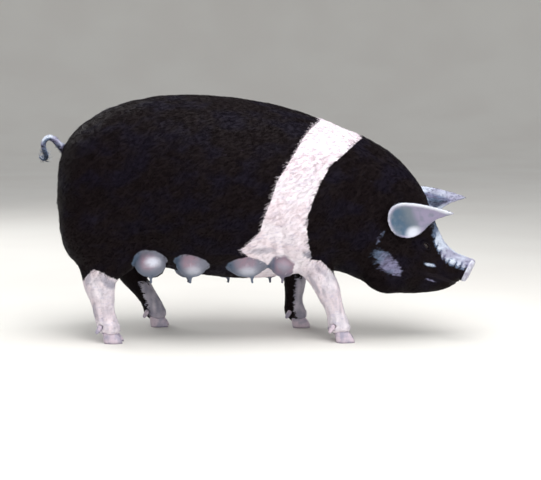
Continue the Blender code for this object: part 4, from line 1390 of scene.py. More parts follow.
    def grow(
        self, surface: Surface, soft: dict[str, np.ndarray], legs: dict[Foot, np.ndarray],
        bare: dict[str, np.ndarray],
    ) -> np.ndarray:
        """Stores how long and how thick the hair is.

        Args:
            surface: The finished skin.
            soft: How far each point belongs to each node.
            legs: How far each point belongs to each leg.
            bare: The skin with little or no hair.

        Returns:
            The hair's density at each point.
        """
        x, _, z = surface.straight.T
        length = np.full(len(x), 0.019)
        length += (0.013 - length) * fade(surface.normals[:, 2], -0.3, -0.7)
        length += (0.007 - length) * bare["gland"]
        length += (0.0090 - length) * np.clip(sum(legs.values()), 0, 1) * fade(z, 0.30, 0.20)
        length += (0.0080 - length) * fade(x, 0.57, 0.64) * (1 - self.on_ear)
        length += (0.0090 - length) * self.on_ear
        jowl = fade(x, 0.50, 0.57) * fade(x, 0.64, 0.60) * fade(z, 0.40, 0.33)
        length += (0.0135 - length) * jowl
        tail_end = soft["tail"] * fade(x, -0.772, -0.785) * fade(z, 0.69, 0.675)
        length += (0.012 - length) * soft["tail"]
        length += 0.028 * tail_end
        density = (1 - bare["snout"]) * (1 - 0.97 * bare["gland"]) * (1 - bare["ear"])
        density *= 0.15 + 0.85 * fade(gland_gaps(surface), 1.10, 1.32)
        density *= 1 + 0.9 * fade(x, 0.57, 0.64) + 0.6 * fade(z, 0.26, 0.18) + 2.0 * tail_end
        density *= (1 - 0.95 * bare["lips"]) * fade(z, 0.040, 0.055)
        for eye in self.eyes:
            density *= fade(np.linalg.norm(surface.points - eye.centre, axis=1), 0.016, 0.028)
        surface.store("length", length)
        surface.store("density", density)
        return density

    def unwrap(self, surface: Surface) -> None:
        """Unwraps the skin's own shape into the map that baking uses."""
        obj = surface.obj
        obj.data.uv_layers.new(name=BAKE_MAP)
        bpy.context.view_layer.objects.active = obj
        obj.select_set(True)
        bpy.ops.object.mode_set(mode="EDIT")
        bpy.ops.mesh.select_all(action="SELECT")
        bpy.ops.uv.smart_project(angle_limit=1.15, island_margin=0.002)
        bpy.ops.object.mode_set(mode="OBJECT")

    def build(self) -> Surface:
        """Makes the whole skin and dresses it.

        Returns:
            The finished skin.
        """
        surface = self.thin(self.gather())
        for eye in self.eyes:
            eye.face(surface)
        surface.measure()
        self.refine_face(surface)
        parts = self.label(surface)
        self.on_ear = surface.soften(parts["ear_left"] + parts["ear_right"], 2)
        self.fold(surface)
        self.snout.shape(surface)
        for eye in self.eyes:
            eye.shape(surface)
        surface.measure()
        self.mark(surface)
        self.unwrap(surface)
        obj = surface.obj
        obj.data.shade_smooth()
        obj.data.materials.append(HideFinish(name="hide_of_a_belted_pig").material())
        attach(obj, BODY)
        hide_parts(*[n for n in frame["nodes"] if n.split("_")[0] in FLESH_WORDS and "eye" not in n])
        return surface


@dataclass(frozen=True)
class PigmentNodes:
    """Patterns in a material's tree, and the markings' colours, which the skin and the coat share."""

    tree: NodeTree
    black: str = "#120a0c"
    black_blue: str = "#110c18"
    black_brown: str = "#1a0f0f"
    black_light: str = "#251c2a"
    white: str = "#f6eef4"
    white_lilac: str = "#d6cfe0"
    white_pink: str = "#edd6dc"
    # grey hair, and the painted highlights and sheen drawn as grey and white hairs
    grizzle: str = "#64738c"
    grey_hair_and_sheen_lilac: str = "#857d9a"
    grey_hair_and_sheen_pale: str = "#cfd7e6"
    # the blue grey of the painted shade on the white
    dim: str = "#7e8096"

    def read(self, name: str) -> NodeSocket:
        """A number that the mesh carries."""
        return add_node(self.tree, "ShaderNodeAttribute", attribute_name=name).outputs["Fac"]

    def places(self) -> NodeSocket:
        """Where the surface lies in the frame, in metres."""
        return add_node(self.tree, "ShaderNodeTexCoord").outputs["Object"]

    def mix(self, share: NodeSocket | float, one: NodeSocket | str, two: NodeSocket | str) -> NodeSocket:
        """Mixes two colours, each a socket or a hex colour.

        Args:
            share: How much of the second shows.
            one: The first colour.
            two: The second colour.

        Returns:
            The mixed colour.
        """
        colours = [linear(c) if isinstance(c, str) else c for c in (one, two)]
        inputs = {"Factor_Float": share, "A_Color": colours[0], "B_Color": colours[1]}
        mixed = add_node(self.tree, "ShaderNodeMix", inputs, data_type="RGBA")
        return socket_of(mixed.outputs, "Result_Color")

    def sum_of(self, operation: str, *values: NodeSocket | float) -> NodeSocket:
        """Works out one number from others."""
        inputs = dict(enumerate(values))
        return add_node(self.tree, "ShaderNodeMath", inputs, operation=operation).outputs[0]

    def noise(
        self, coordinates: NodeSocket, spacing: tuple[float, float, float], detail: float = 2.0
    ) -> NodeSocket:
        """Random grain whose lumps have a real size along each axis.

        Args:
            coordinates: The places to read it at, in metres.
            spacing: The lumps' size along X, Y and Z, in metres.
            detail: How many finer layers are added.

        Returns:
            A number from 0 to 1.
        """
        scale = tuple(1 / size for size in spacing)
        mapped = add_node(self.tree, "ShaderNodeMapping", {"Vector": coordinates, "Scale": scale})
        inputs = {"Vector": mapped.outputs[0], "Scale": 1.0, "Detail": detail}
        return add_node(self.tree, "ShaderNodeTexNoise", inputs).outputs["Fac"]

    def ramp(
        self, value: NodeSocket, low: float, high: float, start: float = 0.0, end: float = 1.0
    ) -> NodeSocket:
        """Stretches a range of a number onto another range, and holds it there."""
        inputs = {"Value": value, "From Min": low, "From Max": high, "To Min": start, "To Max": end}
        ranged = add_node(self.tree, "ShaderNodeMapRange", inputs, interpolation_type="SMOOTHSTEP")
        return ranged.outputs[0]

    def hair(self, coordinates: NodeSocket, chance: NodeSocket | None = None) -> NodeSocket:
        """The colour of the hair at a place.

        Args:
            coordinates: The hair's root, or the place on the skin.
            chance: A random number for each hair, from 0 to 1; the fine grain stands in for it.

        Returns:
            The colour.
        """
        patch = self.noise(coordinates, (0.10, 0.07, 0.07))
        streak = self.noise(coordinates, (0.030, 0.006, 0.006), 3.0)
        fine = self.noise(coordinates, (0.008, 0.004, 0.004))
        jag = self.sum_of("MULTIPLY_ADD", streak, 0.016, -0.008)
        jag = self.sum_of("MULTIPLY_ADD", fine, 0.006, jag)
        edge = self.sum_of("ADD", self.read("white"), jag)
        is_white = self.ramp(edge, 0.0015, 0.0045)
        # The black is mixed with blue in broad patches and lighter black along streaks, at random places,
        # as painted sheen, and with brown in fine grain
        black = self.mix(self.ramp(patch, 0.42, 0.68), self.black, self.black_blue)
        black = self.mix(self.ramp(fine, 0.60, 0.80, 0.0, 0.7), black, self.black_brown)
        black = self.mix(self.ramp(streak, 0.60, 0.82, 0.0, 0.5), black, self.black_light)
        # In the grey patches, partly grey hair and partly painted highlight and sheen, hairs turn grey or
        # white along soft streaks, and a few by chance
        grizzle = self.read("grizzle")
        grey = self.mix(self.ramp(grizzle, 0.64, 0.92), self.grizzle, self.grey_hair_and_sheen_pale)
        grey = self.mix(self.ramp(patch, 0.40, 0.60, 0.0, 0.7), grey, self.grey_hair_and_sheen_lilac)
        more = self.sum_of("MULTIPLY_ADD", streak, 0.9, -0.60)
        more = self.sum_of("MULTIPLY_ADD", fine if chance is None else chance, 0.30, more)
        picked = self.ramp(self.sum_of("ADD", grizzle, more), 0.30, 0.66)
        flecks = self.sum_of("MULTIPLY", picked, self.ramp(grizzle, 0.02, 0.12))
        black = self.mix(flecks, black, grey)
        white = self.mix(self.ramp(patch, 0.35, 0.65, 0.0, 0.40), self.white, self.white_pink)
        white = self.mix(self.ramp(streak, 0.50, 0.75, 0.0, 0.75), white, self.white_lilac)
        # painted shade: the white dims towards blue grey where the mesh carries it
        dim = self.sum_of("MULTIPLY", self.read("dim"), 0.78)
        shaded = self.mix(dim, white, self.dim)
        return self.mix(is_white, black, shaded)


def new_material(name: str) -> tuple[Material, NodeTree, Node]:
    """Starts a material.

    Args:
        name: The material's name.

    Returns:
        The material, its tree and its Principled shader.
    """
    made = bpy.data.materials.new(name)
    made.use_nodes = True
    tree = made.node_tree
    return made, tree, tree.nodes["Principled BSDF"]


@dataclass(frozen=True)
class HideFinish:
    """Pig hide: dark or pink skin under flat bristles, bare and moist on the disc, lips and glands."""

    name: str
    snout_lilac: str = "#a49fb2"
    # the disc's pale, which is also the painted highlight on the glands
    pale_of_disc_and_highlight: str = "#d3d5e2"
    snout_deep: str = "#544a5a"
    gland_pink: str = "#96808e"
    gland_grey: str = "#7e808e"
    # the blue grey of the painted shade on the glands
    gland_blue: str = "#55657a"
    ear_lilac: str = "#9d96b0"
    ear_teal: str = "#52697f"
    ear_olive: str = "#77818d"
    # the painted highlight in the ears' bowls
    ear_highlight_pale: str = "#e2e5ef"
    lip_dark: str = "#1d171d"
    hair_bump: float = 0.0008  # how deep the flat bristles' bump is, in metres
    pore_bump: float = 0.0005

    def bare_colour(self, p: PigmentNodes, places: NodeSocket, grain: NodeSocket) -> NodeSocket:
        """The colour of the skin where it is bare.

        Args:
            p: The material's patterns.
            places: Where the patterns are read.
            grain: Random grain the size of pores.

        Returns:
            The colour.
        """
        mottle = p.noise(places, (0.030, 0.030, 0.030), 3.0)
        streak = p.noise(places, (0.022, 0.006, 0.010), 2.0)
        # Glands: grey, pink where they are fullest, with painted blue-grey shade behind and below and a
        # painted pale highlight
        patchy = p.ramp(mottle, 0.30, 0.60, 0.35, 1.0)
        pink = p.sum_of("MULTIPLY", p.read("gland_blush"), patchy)
        gland = p.mix(pink, self.gland_grey, self.gland_pink)
        blue = p.sum_of("MULTIPLY", p.read("gland_blue"), patchy)
        gland = p.mix(blue, gland, self.gland_blue)
        # painted highlight: the pale patch on each gland
        bulge = p.sum_of("MULTIPLY", p.read("gland_light"), p.ramp(streak, 0.15, 0.45, 0.4, 1.0))
        gland = p.mix(bulge, gland, self.pale_of_disc_and_highlight)
        # Bowls of the ears: blue grey at the back, lilac in front, grey between, with painted pale
        # highlights
        lilac = p.sum_of("MULTIPLY", p.read("ear_lilac"), patchy)
        ear = p.mix(lilac, self.ear_olive, self.ear_lilac)
        teal = p.sum_of("MULTIPLY", p.read("ear_teal"), patchy)
        ear = p.mix(teal, ear, self.ear_teal)
        # painted highlight on the upper rim and low in the bowl
        pale = p.sum_of("MULTIPLY", p.read("ear_light"), p.ramp(streak, 0.15, 0.40, 0.5, 1.0))
        ear = p.mix(pale, ear, self.ear_highlight_pale)
        # Disc of the snout: lilac grey and pale blue, with dark blotches
        disc = p.mix(p.ramp(mottle, 0.36, 0.58), self.snout_lilac, self.pale_of_disc_and_highlight)
        disc = p.mix(p.ramp(grain, 0.60, 0.80, 0.0, 0.5), disc, self.snout_deep)
        bare = p.mix(p.ramp(p.read("gland"), 0.2, 0.6), self.lip_dark, gland)
        bare = p.mix(p.ramp(p.read("ear"), 0.2, 0.6), bare, ear)
        return p.mix(p.ramp(p.read("snout"), 0.4, 0.6), bare, disc)

    def material(self) -> Material:
        """Builds the hide.

        Returns:
            The material.
        """
        made, tree, shader = new_material(self.name)
        p = PigmentNodes(tree)
        places = p.places()
        grain = p.noise(places, (0.005, 0.005, 0.005), 2.0)
        is_bare = p.ramp(p.read("bare"), 0.25, 0.75)
        colour = p.mix(is_bare, p.hair(places), self.bare_colour(p, places, grain))
        tree.links.new(colour, shader.inputs["Base Color"])
        rough = p.ramp(grain, 0.3, 0.7, 0.50, 0.68)
        smoother = p.sum_of("MULTIPLY", is_bare, -0.14)
        tree.links.new(p.sum_of("ADD", rough, smoother), shader.inputs["Roughness"])
        shader.inputs["Specular IOR Level"].default_value = 0.08
        self.bump(p, shader, places, is_bare)
        return made

    def bump(self, p: PigmentNodes, shader: Node, places: NodeSocket, is_bare: NodeSocket) -> None:
        """Draws flat bristles along the body, and pores and fine lines where the skin is bare.

        Bristles are 0.3 mm thick in life; they are drawn about 3 mm apart so that they show.

        Args:
            p: The material's patterns.
            shader: The shader that takes the bump.
            places: Where the patterns are read.
            is_bare: 1 where the skin is bare.
        """
        tree = p.tree
        bristles = p.noise(places, (0.030, 0.0028, 0.0028), 2.0)
        pores = p.noise(places, (0.0022, 0.0022, 0.0022), 2.0)
        lines = add_node(
            tree, "ShaderNodeTexVoronoi", {"Vector": places, "Scale": 260.0}, feature="DISTANCE_TO_EDGE"
        ).outputs["Distance"]
        lines = p.ramp(lines, 0.0, 0.16)
        strength = p.ramp(is_bare, 0.0, 1.0, 0.9, 0.1)
        hairy = add_node(
            tree, "ShaderNodeBump",
            {"Height": bristles, "Distance": self.hair_bump, "Strength": strength},
        )
        height = p.sum_of("MULTIPLY_ADD", pores, 0.6, p.sum_of("MULTIPLY", lines, 0.5))
        skin = add_node(
            tree, "ShaderNodeBump",
            {"Height": height, "Distance": self.pore_bump, "Strength": 0.7, "Normal": hairy.outputs[0]},
        )
        tree.links.new(skin.outputs[0], shader.inputs["Normal"])


@dataclass(frozen=True)
class BristleFinish:
    """Pig bristle: stiff, smooth hair with a soft shine, darker at its root."""

    name: str = "pig_bristle"
    root_shade: str = "#2a2228"

    def material(self) -> Material:
        """Builds the bristles' finish.

        Returns:
            The material.
        """
        made, tree, shader = new_material(self.name)
        p = PigmentNodes(tree)
        roots = add_node(tree, "ShaderNodeAttribute", attribute_name="root").outputs["Vector"]
        shade = p.read("shade")
        colour = p.hair(roots, shade)
        darker = p.mix(0.22, colour, self.root_shade)
        colour = p.mix(p.ramp(shade, 0.0, 0.5), darker, colour)
        root = p.ramp(p.read("up_hair"), 0.0, 0.35, 0.15, 0.0)
        colour = p.mix(root, colour, self.root_shade)
        tree.links.new(colour, shader.inputs["Base Color"])
        shader.inputs["Roughness"].default_value = 0.55
        shader.inputs["Specular IOR Level"].default_value = 0.055
        return made


@dataclass(frozen=True)
class LashHair:
    """The black hair of the lashes, a little glossier than the coat."""

    colour: str = "#0e0a0c"

    def material(self) -> Material:
        """Builds the lashes' finish.

        Returns:
            The material.
        """
        made, tree, shader = new_material("lash_bristle")
        p = PigmentNodes(tree)
        grain = p.noise(p.places(), (0.001, 0.001, 0.001))
        tree.links.new(p.mix(grain, self.colour, "#241a1e"), shader.inputs["Base Color"])
        shader.inputs["Roughness"].default_value = 0.4
        return made


@dataclass(frozen=True)
class WetEye:
    """A pig's eye: black pupil, dark brown iris and little white, under a wet cornea."""

    pupil: str = "#020202"
    iris: str = "#180c08"
    iris_light: str = "#2c1810"
    white: str = "#4f4544"

    def material(self) -> Material:
        """Builds the eye's finish.

        Returns:
            The material.
        """
        made, tree, shader = new_material("wet_eye")
        p = PigmentNodes(tree)
        angle = p.read("from_gaze")
        places = p.places()
        fibres = p.noise(places, (0.0012, 0.0012, 0.0012), 3.0)
        iris = p.mix(p.ramp(fibres, 0.35, 0.7), self.iris, self.iris_light)
        colour = p.mix(p.ramp(angle, 0.24, 0.30), self.pupil, iris)
        colour = p.mix(p.ramp(angle, 0.62, 0.70), colour, self.pupil)
        colour = p.mix(p.ramp(angle, 0.70, 0.80), colour, self.white)
        tree.links.new(colour, shader.inputs["Base Color"])
        shader.inputs["Roughness"].default_value = 0.16
        shader.inputs["IOR"].default_value = 1.38
        shader.inputs["Specular IOR Level"].default_value = 0.2
        shader.inputs["Coat Weight"].default_value = 0.5
        shader.inputs["Coat Roughness"].default_value = 0.03
        return made


@dataclass(frozen=True)
class HornFinish:
    """Hoof horn: pinkish grey and half matt, with growth rings and fine upright grain."""

    horn: str = "#d2c2ce"
    horn_grey: str = "#a39db0"
    horn_dark: str = "#5c5260"
    ring_spacing: float = 0.006

    def material(self) -> Material:
        """Builds the horn.

        Returns:
            The material.
        """
        made, tree, shader = new_material("hoof_horn")
        p = PigmentNodes(tree)
        places = p.places()
        rings = p.noise(places, (0.05, 0.05, self.ring_spacing), 2.0)
        grain = p.noise(places, (0.0016, 0.0016, 0.020), 2.0)
        patch = p.noise(places, (0.03, 0.03, 0.03))
        colour = p.mix(p.ramp(patch, 0.35, 0.65), self.horn, self.horn_grey)
        colour = p.mix(p.ramp(grain, 0.55, 0.80, 0.0, 0.5), colour, self.horn_dark)
        height = add_node(tree, "ShaderNodeSeparateXYZ", {"Vector": places}).outputs["Z"]
        colour = p.mix(p.ramp(height, 0.008, 0.0, 0.0, 0.6), colour, self.horn_dark)
        tree.links.new(colour, shader.inputs["Base Color"])
        tree.links.new(p.ramp(grain, 0.3, 0.7, 0.34, 0.52), shader.inputs["Roughness"])
        height = p.sum_of("MULTIPLY_ADD", grain, 0.4, rings)
        bump = add_node(tree, "ShaderNodeBump", {"Height": height, "Distance": 0.0012, "Strength": 0.8})
        tree.links.new(bump.outputs[0], shader.inputs["Normal"])
        return made


@dataclass
class Claws:
    """The claws and dewclaws of one foot, rounded from their solids and ringed by growth."""

    foot: Foot
    levels: int = 2
    ring_height: float = 0.00035
    ring_spacing: float = 0.0062

    def nodes(self) -> list[str]:
        """The names of the foot's horn nodes."""
        places = [f"{self.foot.value}_{place}" for place in ("inner", "outer")]
        return [f"{kind}_{place}" for kind in ("hoof", "dewclaw") for place in places]

    def build(self, finish: Material) -> Object:
        """Makes the foot's horn as one piece.

        Args:
            finish: The horn's material.

        Returns:
            The piece.
        """
        bm = bmesh.new()
        for name in self.nodes():
            part = merged_copy(name)
            bmesh.ops.join_triangles(
                part, faces=part.faces, angle_face_threshold=0.7, angle_shape_threshold=0.9, cmp_seam=False
            )
            join_into(bm, part, name)
        crease = bm.edges.layers.float.new("crease_edge")
        for edge in bm.edges:
            if all(vertex.co.z < 0.0005 for vertex in edge.verts):
                edge[crease] = 1.0
        obj = new_object(f"claws_{self.foot.value}", mesh_of(bm, "claws"))
        applied(obj, "SUBSURF", levels=self.levels, render_levels=self.levels)
        surface = Surface(obj)
        z = surface.points[:, 2]
        rings = np.cos(2 * math.pi * (z + 0.0008 * waves(surface.points, 0.02, 3)) / self.ring_spacing)
        surface.raise_by(self.ring_height * rings * fade(z, 0.004, 0.010))
        surface.points[z < 0.0004, 2] = np.clip(z[z < 0.0004], 0, None)
        surface.measure()
        obj.data.shade_smooth()
        obj.data.materials.append(finish)
        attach(obj, BODY)
        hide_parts(*self.nodes())
        return obj


# What the skin carries and its hairs don't need
SKIN_ONLY = (
    "lie", "density", "length", "part", "root_map", "spot", "bare", "ear_teal", "ear_lilac", "ear_light",
    "gland_light", "gland_blue", "gland_blush", "snout", "gland", "ear", "lid", "lips",
)


@dataclass
class Coat:
    """The bristle coat: flat tufts of three hairs over the skin, laid along it."""

    tufts: int = 49_000
    most_in_piece: int = 6_400
    width: float = 0.00095
    lift: float = 0.055
    sway: float = 0.10
    patch: float = 0.003
    seed: int = 11

    def build_templates(self) -> bpy.types.Collection:
        """Makes a few tufts of three bristles, one long and one wide, for the tree to pick from.

        Returns:
            The collection that holds them.
        """
        held = bpy.data.collections.new("tufts")
        bpy.context.scene.collection.children.link(held)
        for variant in range(4):
            draw = np.random.default_rng(100 + variant)
            bm = bmesh.new()
            for k in range(3):
                start = np.array((draw.uniform(-0.30, 0.30), (k - 1) * 2.8 + draw.uniform(-0.9, 0.9), -0.5))
                length = draw.uniform(0.72, 1.0)
                sway = draw.uniform(-1.0, 1.0)
                bend = start + (0.50 * length, 0.35 * sway, 1.5 + draw.uniform(-0.3, 0.3))
                tip = start + (length, sway, 0.9 + draw.uniform(-0.5, 0.5))
                add_blade(bm, (start, bend, tip), draw.uniform(0.8, 1.15))
            mesh = mesh_of(bm, f"tuft_{variant}")
            mesh.shade_smooth()
            places = np.zeros(len(mesh.vertices) * 3, np.float32)
            mesh.vertices.foreach_get("co", places)
            places = places.reshape(-1, 3)
            along = mesh.attributes.new("up_hair", "FLOAT", "POINT")
            along.data.foreach_set("value", np.clip(places[:, 0], 0, 1))
            spot = mesh.attributes.new("spot", "FLOAT_VECTOR", "POINT")
            flat = np.zeros((len(places), 3))
            flat[:, 0] = np.clip(places[:, 0], 0, 1) - 0.5
            flat[:, 1] = np.clip(places[:, 1] / 8, -0.5, 0.5)
            spot.data.foreach_set("vector", (flat * self.patch).astype(np.float32).ravel())
            held.objects.link(bpy.data.objects.new(f"tuft_{variant}", mesh))
        return held

    def build_tree(self, held: bpy.types.Collection, finish: Material) -> tuple[
        NodeTree, dict[str, str]
    ]:
        """Builds the tree that grows tufts on one part of the skin.

        Args:
            held: The collection of tufts.
            finish: The bristles' material.

        Returns:
            The tree, and the identifier of each of its inputs by name.
        """
        tree = bpy.data.node_groups.new("bristle_coat", "GeometryNodeTree")
        panel = tree.interface
        panel.new_socket("Skin", in_out="INPUT", socket_type="NodeSocketGeometry")
        names = {}
        for name, kind, value in (
            ("Part", "NodeSocketInt", 0), ("Density", "NodeSocketFloat", 1000.0),
            ("Seed", "NodeSocketInt", 0), ("Width", "NodeSocketFloat", self.width),
            ("Lift", "NodeSocketFloat", self.lift),
        ):
            socket = panel.new_socket(name, in_out="INPUT", socket_type=kind)
            socket.default_value = value
            names[name] = socket.identifier
        panel.new_socket("Coat", in_out="OUTPUT", socket_type="NodeSocketGeometry")
        given = add_node(tree, "NodeGroupInput").outputs

        def attribute(name: str, kind: str = "FLOAT") -> NodeSocket:
            """Reads a value that the skin carries."""
            found = add_node(tree, "GeometryNodeInputNamedAttribute", {"Name": name}, data_type=kind)
            return socket_of(found.outputs, "Attribute")

        def chance(low: float, high: float, seed: int) -> NodeSocket:
            """Draws a random number for each tuft."""
            inputs = {"Min_001": low, "Max_001": high, "Seed": seed}
            found = add_node(tree, "FunctionNodeRandomValue", inputs, data_type="FLOAT")
            return socket_of(found.outputs, "Value_001")

        part = add_node(
            tree, "FunctionNodeCompare", {"A_INT": attribute("part", "INT"), "B_INT": given["Part"]},
            data_type="INT", operation="EQUAL",
        ).outputs[0]
        grown = add_node(
            tree, "GeometryNodeDistributePointsOnFaces",
            {"Mesh": given["Skin"], "Selection": part, "Seed": given["Seed"]}, distribute_method="RANDOM",
        )
        amount = add_node(
            tree, "ShaderNodeMath", {0: attribute("density"), 1: given["Density"]}, operation="MULTIPLY"
        ).outputs[0]
        tree.links.new(amount, socket_of(grown.inputs, "Density"))
        points = grown.outputs["Points"]
        normal = grown.outputs["Normal"]
        for name, kind, value in (
            ("root", "FLOAT_VECTOR", add_node(tree, "GeometryNodeInputPosition").outputs[0]),
            ("root_map", "FLOAT_VECTOR", attribute(BAKE_MAP, "FLOAT_VECTOR")),
            ("shade", "FLOAT", chance(0.0, 1.0, 3)),
        ):
            points = add_node(
                tree, "GeometryNodeStoreNamedAttribute", {"Geometry": points, "Name": name, "Value": value},
                data_type=kind, domain="POINT",
            ).outputs[0]
        sway = add_node(
            tree, "FunctionNodeRandomValue", {"Min": (-self.sway,) * 3, "Max": (self.sway,) * 3, "Seed": 5},
            data_type="FLOAT_VECTOR",
        ).outputs["Value"]
        way = add_node(
            tree, "ShaderNodeVectorMath", {0: attribute("lie", "FLOAT_VECTOR"), 1: sway}, operation="ADD"
        ).outputs[0]
        rise = add_node(
            tree, "ShaderNodeMath", {0: given["Lift"], 1: chance(0.6, 1.5, 9)}, operation="MULTIPLY"
        ).outputs[0]
        lifted = add_node(
            tree, "ShaderNodeVectorMath", {0: normal, "Scale": rise}, operation="SCALE"
        ).outputs[0]
        way = add_node(tree, "ShaderNodeVectorMath", {0: way, 1: lifted}, operation="ADD").outputs[0]
        turn = add_node(
            tree, "FunctionNodeAxesToRotation", {"Primary Axis": way, "Secondary Axis": normal},
            primary_axis="X", secondary_axis="Z",
        ).outputs[0]
        length = add_node(
            tree, "ShaderNodeMath", {0: attribute("length"), 1: chance(0.75, 1.2, 13)}, operation="MULTIPLY"
        ).outputs[0]
        narrow = add_node(
            tree, "ShaderNodeMapRange",
            {"Value": length, "From Min": 0.008, "From Max": 0.026, "To Min": 0.5, "To Max": 1.0},
        ).outputs[0]
        width = add_node(
            tree, "ShaderNodeMath", {0: given["Width"], 1: narrow}, operation="MULTIPLY"
        ).outputs[0]
        size = add_node(tree, "ShaderNodeCombineXYZ", {"X": length, "Y": width, "Z": width}).outputs[0]
        picked = add_node(
            tree, "FunctionNodeRandomValue", {"Min_002": 0, "Max_002": 3, "Seed": 17}, data_type="INT"
        )
        shapes = add_node(
            tree, "GeometryNodeCollectionInfo",
            {"Collection": held, "Separate Children": True, "Reset Children": True},
        ).outputs[0]
        placed = add_node(
            tree, "GeometryNodeInstanceOnPoints",
            {
                "Points": points, "Instance": shapes, "Pick Instance": True,
                "Instance Index": socket_of(picked.outputs, "Value_002"), "Rotation": turn, "Scale": size,
            },
        ).outputs[0]
        real = add_node(tree, "GeometryNodeRealizeInstances", {"Geometry": placed}).outputs[0]
        spot = add_node(
            tree, "ShaderNodeVectorMath",
            {0: attribute("root_map", "FLOAT_VECTOR"), 1: attribute("spot", "FLOAT_VECTOR")},
            operation="ADD",
        ).outputs[0]
        mapped = add_node(
            tree, "GeometryNodeStoreNamedAttribute", {"Geometry": real, "Name": BAKE_MAP, "Value": spot},
            data_type="FLOAT2", domain="CORNER",
        ).outputs[0]
        dressed = add_node(
            tree, "GeometryNodeSetMaterial", {"Geometry": mapped, "Material": finish}
        ).outputs[0]
        add_node(tree, "NodeGroupOutput", {"Coat": dressed})
        return tree, names

    def parts_of(self, surface: Surface, skin: Skin) -> list[str]:
        """Divides the skin into parts that each hold as many tufts as a piece may.

        Args:
            surface: The skin.
            skin: Its labels and density.

        Returns:
            The parts' names; each face of the skin keeps the number of its part.
        """
        mesh = surface.obj.data
        corners = np.zeros(len(mesh.polygons) * 3, np.int32)
        mesh.polygons.foreach_get("vertices", corners)
        corners = corners.reshape(-1, 3)
        area = np.zeros(len(mesh.polygons), np.float32)
        mesh.polygons.foreach_get("area", area)
        weight = area * skin.density[corners].mean(axis=1)
        self.density = self.tufts / weight.sum()
        places = surface.straight[corners].mean(axis=1)
        owners = np.array([skin.parts[name][corners].sum(axis=1) for name in skin.parts]).argmax(axis=0)
        kinds = [name.split("_")[0] for name in skin.parts]
        merged = {"ear": "head", "eye": "head", "snout": "head", "tail": "legs", "leg": "legs"}
        kinds = np.array([merged.get(kind, kind) for kind in kinds])[owners]
        part = np.zeros(len(area), np.int32)
        names = []
        for kind in sorted(set(kinds)):
            own = np.nonzero(kinds == kind)[0]
            count = max(1, math.ceil(weight[own].sum() * self.density / self.most_in_piece))
            order = own[np.argsort(places[own, 0], kind="stable")]
            shares = np.cumsum(weight[order]) / weight[order].sum()
            slab = np.minimum((shares * count).astype(int), count - 1)
            part[order] = len(names) + slab
            names += [f"coat_{kind}_{i + 1}" for i in range(count)]
        kept = mesh.attributes.new("part", "INT", "FACE")
        kept.data.foreach_set("value", part)
        return names

    def build(self, surface: Surface, skin: Skin) -> list[Object]:
        """Grows the coat, part by part.

        Args:
            surface: The skin.
            skin: Its labels and density.

        Returns:
            The coat's pieces.
        """
        names = self.parts_of(surface, skin)
        finish = BristleFinish().material()
        held = self.build_templates()
        tree, inputs = self.build_tree(held, finish)
        pieces = []
        for number, name in enumerate(names):
            grower = new_object("grower", surface.obj.data)
            modifier = grower.modifiers.new("Coat", "NODES")
            modifier.node_group = tree
            for key, value in (("Part", number), ("Density", self.density), ("Seed", self.seed + number)):
                modifier[inputs[key]] = value
            graph = bpy.context.evaluated_depsgraph_get()
            mesh = bpy.data.meshes.new_from_object(grower.evaluated_get(graph))
            bpy.data.objects.remove(grower)
            for spare in SKIN_ONLY:
                if spare in mesh.attributes:
                    mesh.attributes.remove(mesh.attributes[spare])
            mesh.materials.clear()
            mesh.materials.append(finish)
            mesh.polygons.foreach_set("material_index", np.zeros(len(mesh.polygons), np.int32))
            obj = new_object(name, mesh)
            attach(obj, BODY)
            LOG.info("%s: %d triangles", name, len(mesh.polygons))
            pieces.append(obj)
        for tuft in list(held.objects):
            bpy.data.objects.remove(tuft)
        bpy.data.collections.remove(held)
        return pieces


def add_blade(bm: BMesh, path: Sequence[np.ndarray], width: float) -> None:
    """Adds one closed flat bristle along a root, a bend and a tip.

    Args:
        bm: The mesh that it is added to.
        path: The root, the bend and the tip.
        width: Its width at the root, in the tuft's own widths.
    """
    root, bend, tip = (np.asarray(point, float) for point in path)
    rings = []
    for middle, share in ((root, 0.8), (bend, 1.0)):
        half = 0.5 * width * share
        corners = (middle + (0, half, -0.10), middle + (0, 0, 0.26 * share), middle + (0, -half, -0.10))
        rings.append([bm.verts.new(corner) for corner in corners])
    end = bm.verts.new(tip)
    bm.faces.new(rings[0])
    for i in range(3):
        one, two = rings[0][i], rings[0][(i + 1) % 3]
        three, four = rings[1][(i + 1) % 3], rings[1][i]
        bm.faces.new((one, four, three))
        bm.faces.new((one, three, two))
        bm.faces.new((four, end, three))
    bmesh.ops.recalc_face_normals(bm, faces=bm.faces)


@dataclass(frozen=True)
class StudioFinish:
    """The plain pale floor, matt like painted board."""

    colour: str = "#e6e3de"
    colour_pale: str = "#eae8e3"

    def material(self) -> Material:
        """Builds the floor's finish.

        Returns:
            The material.
        """
        made, tree, shader = new_material("pale_floor")
        p = PigmentNodes(tree)
        places = p.places()
        cloud = p.noise(places, (0.9, 0.9, 0.9))
        colour = p.mix(p.ramp(cloud, 0.3, 0.7), self.colour, self.colour_pale)
        tree.links.new(colour, shader.inputs["Base Color"])
        shader.inputs["Roughness"].default_value = 0.9
        shader.inputs["Specular IOR Level"].default_value = 0.1
        return made


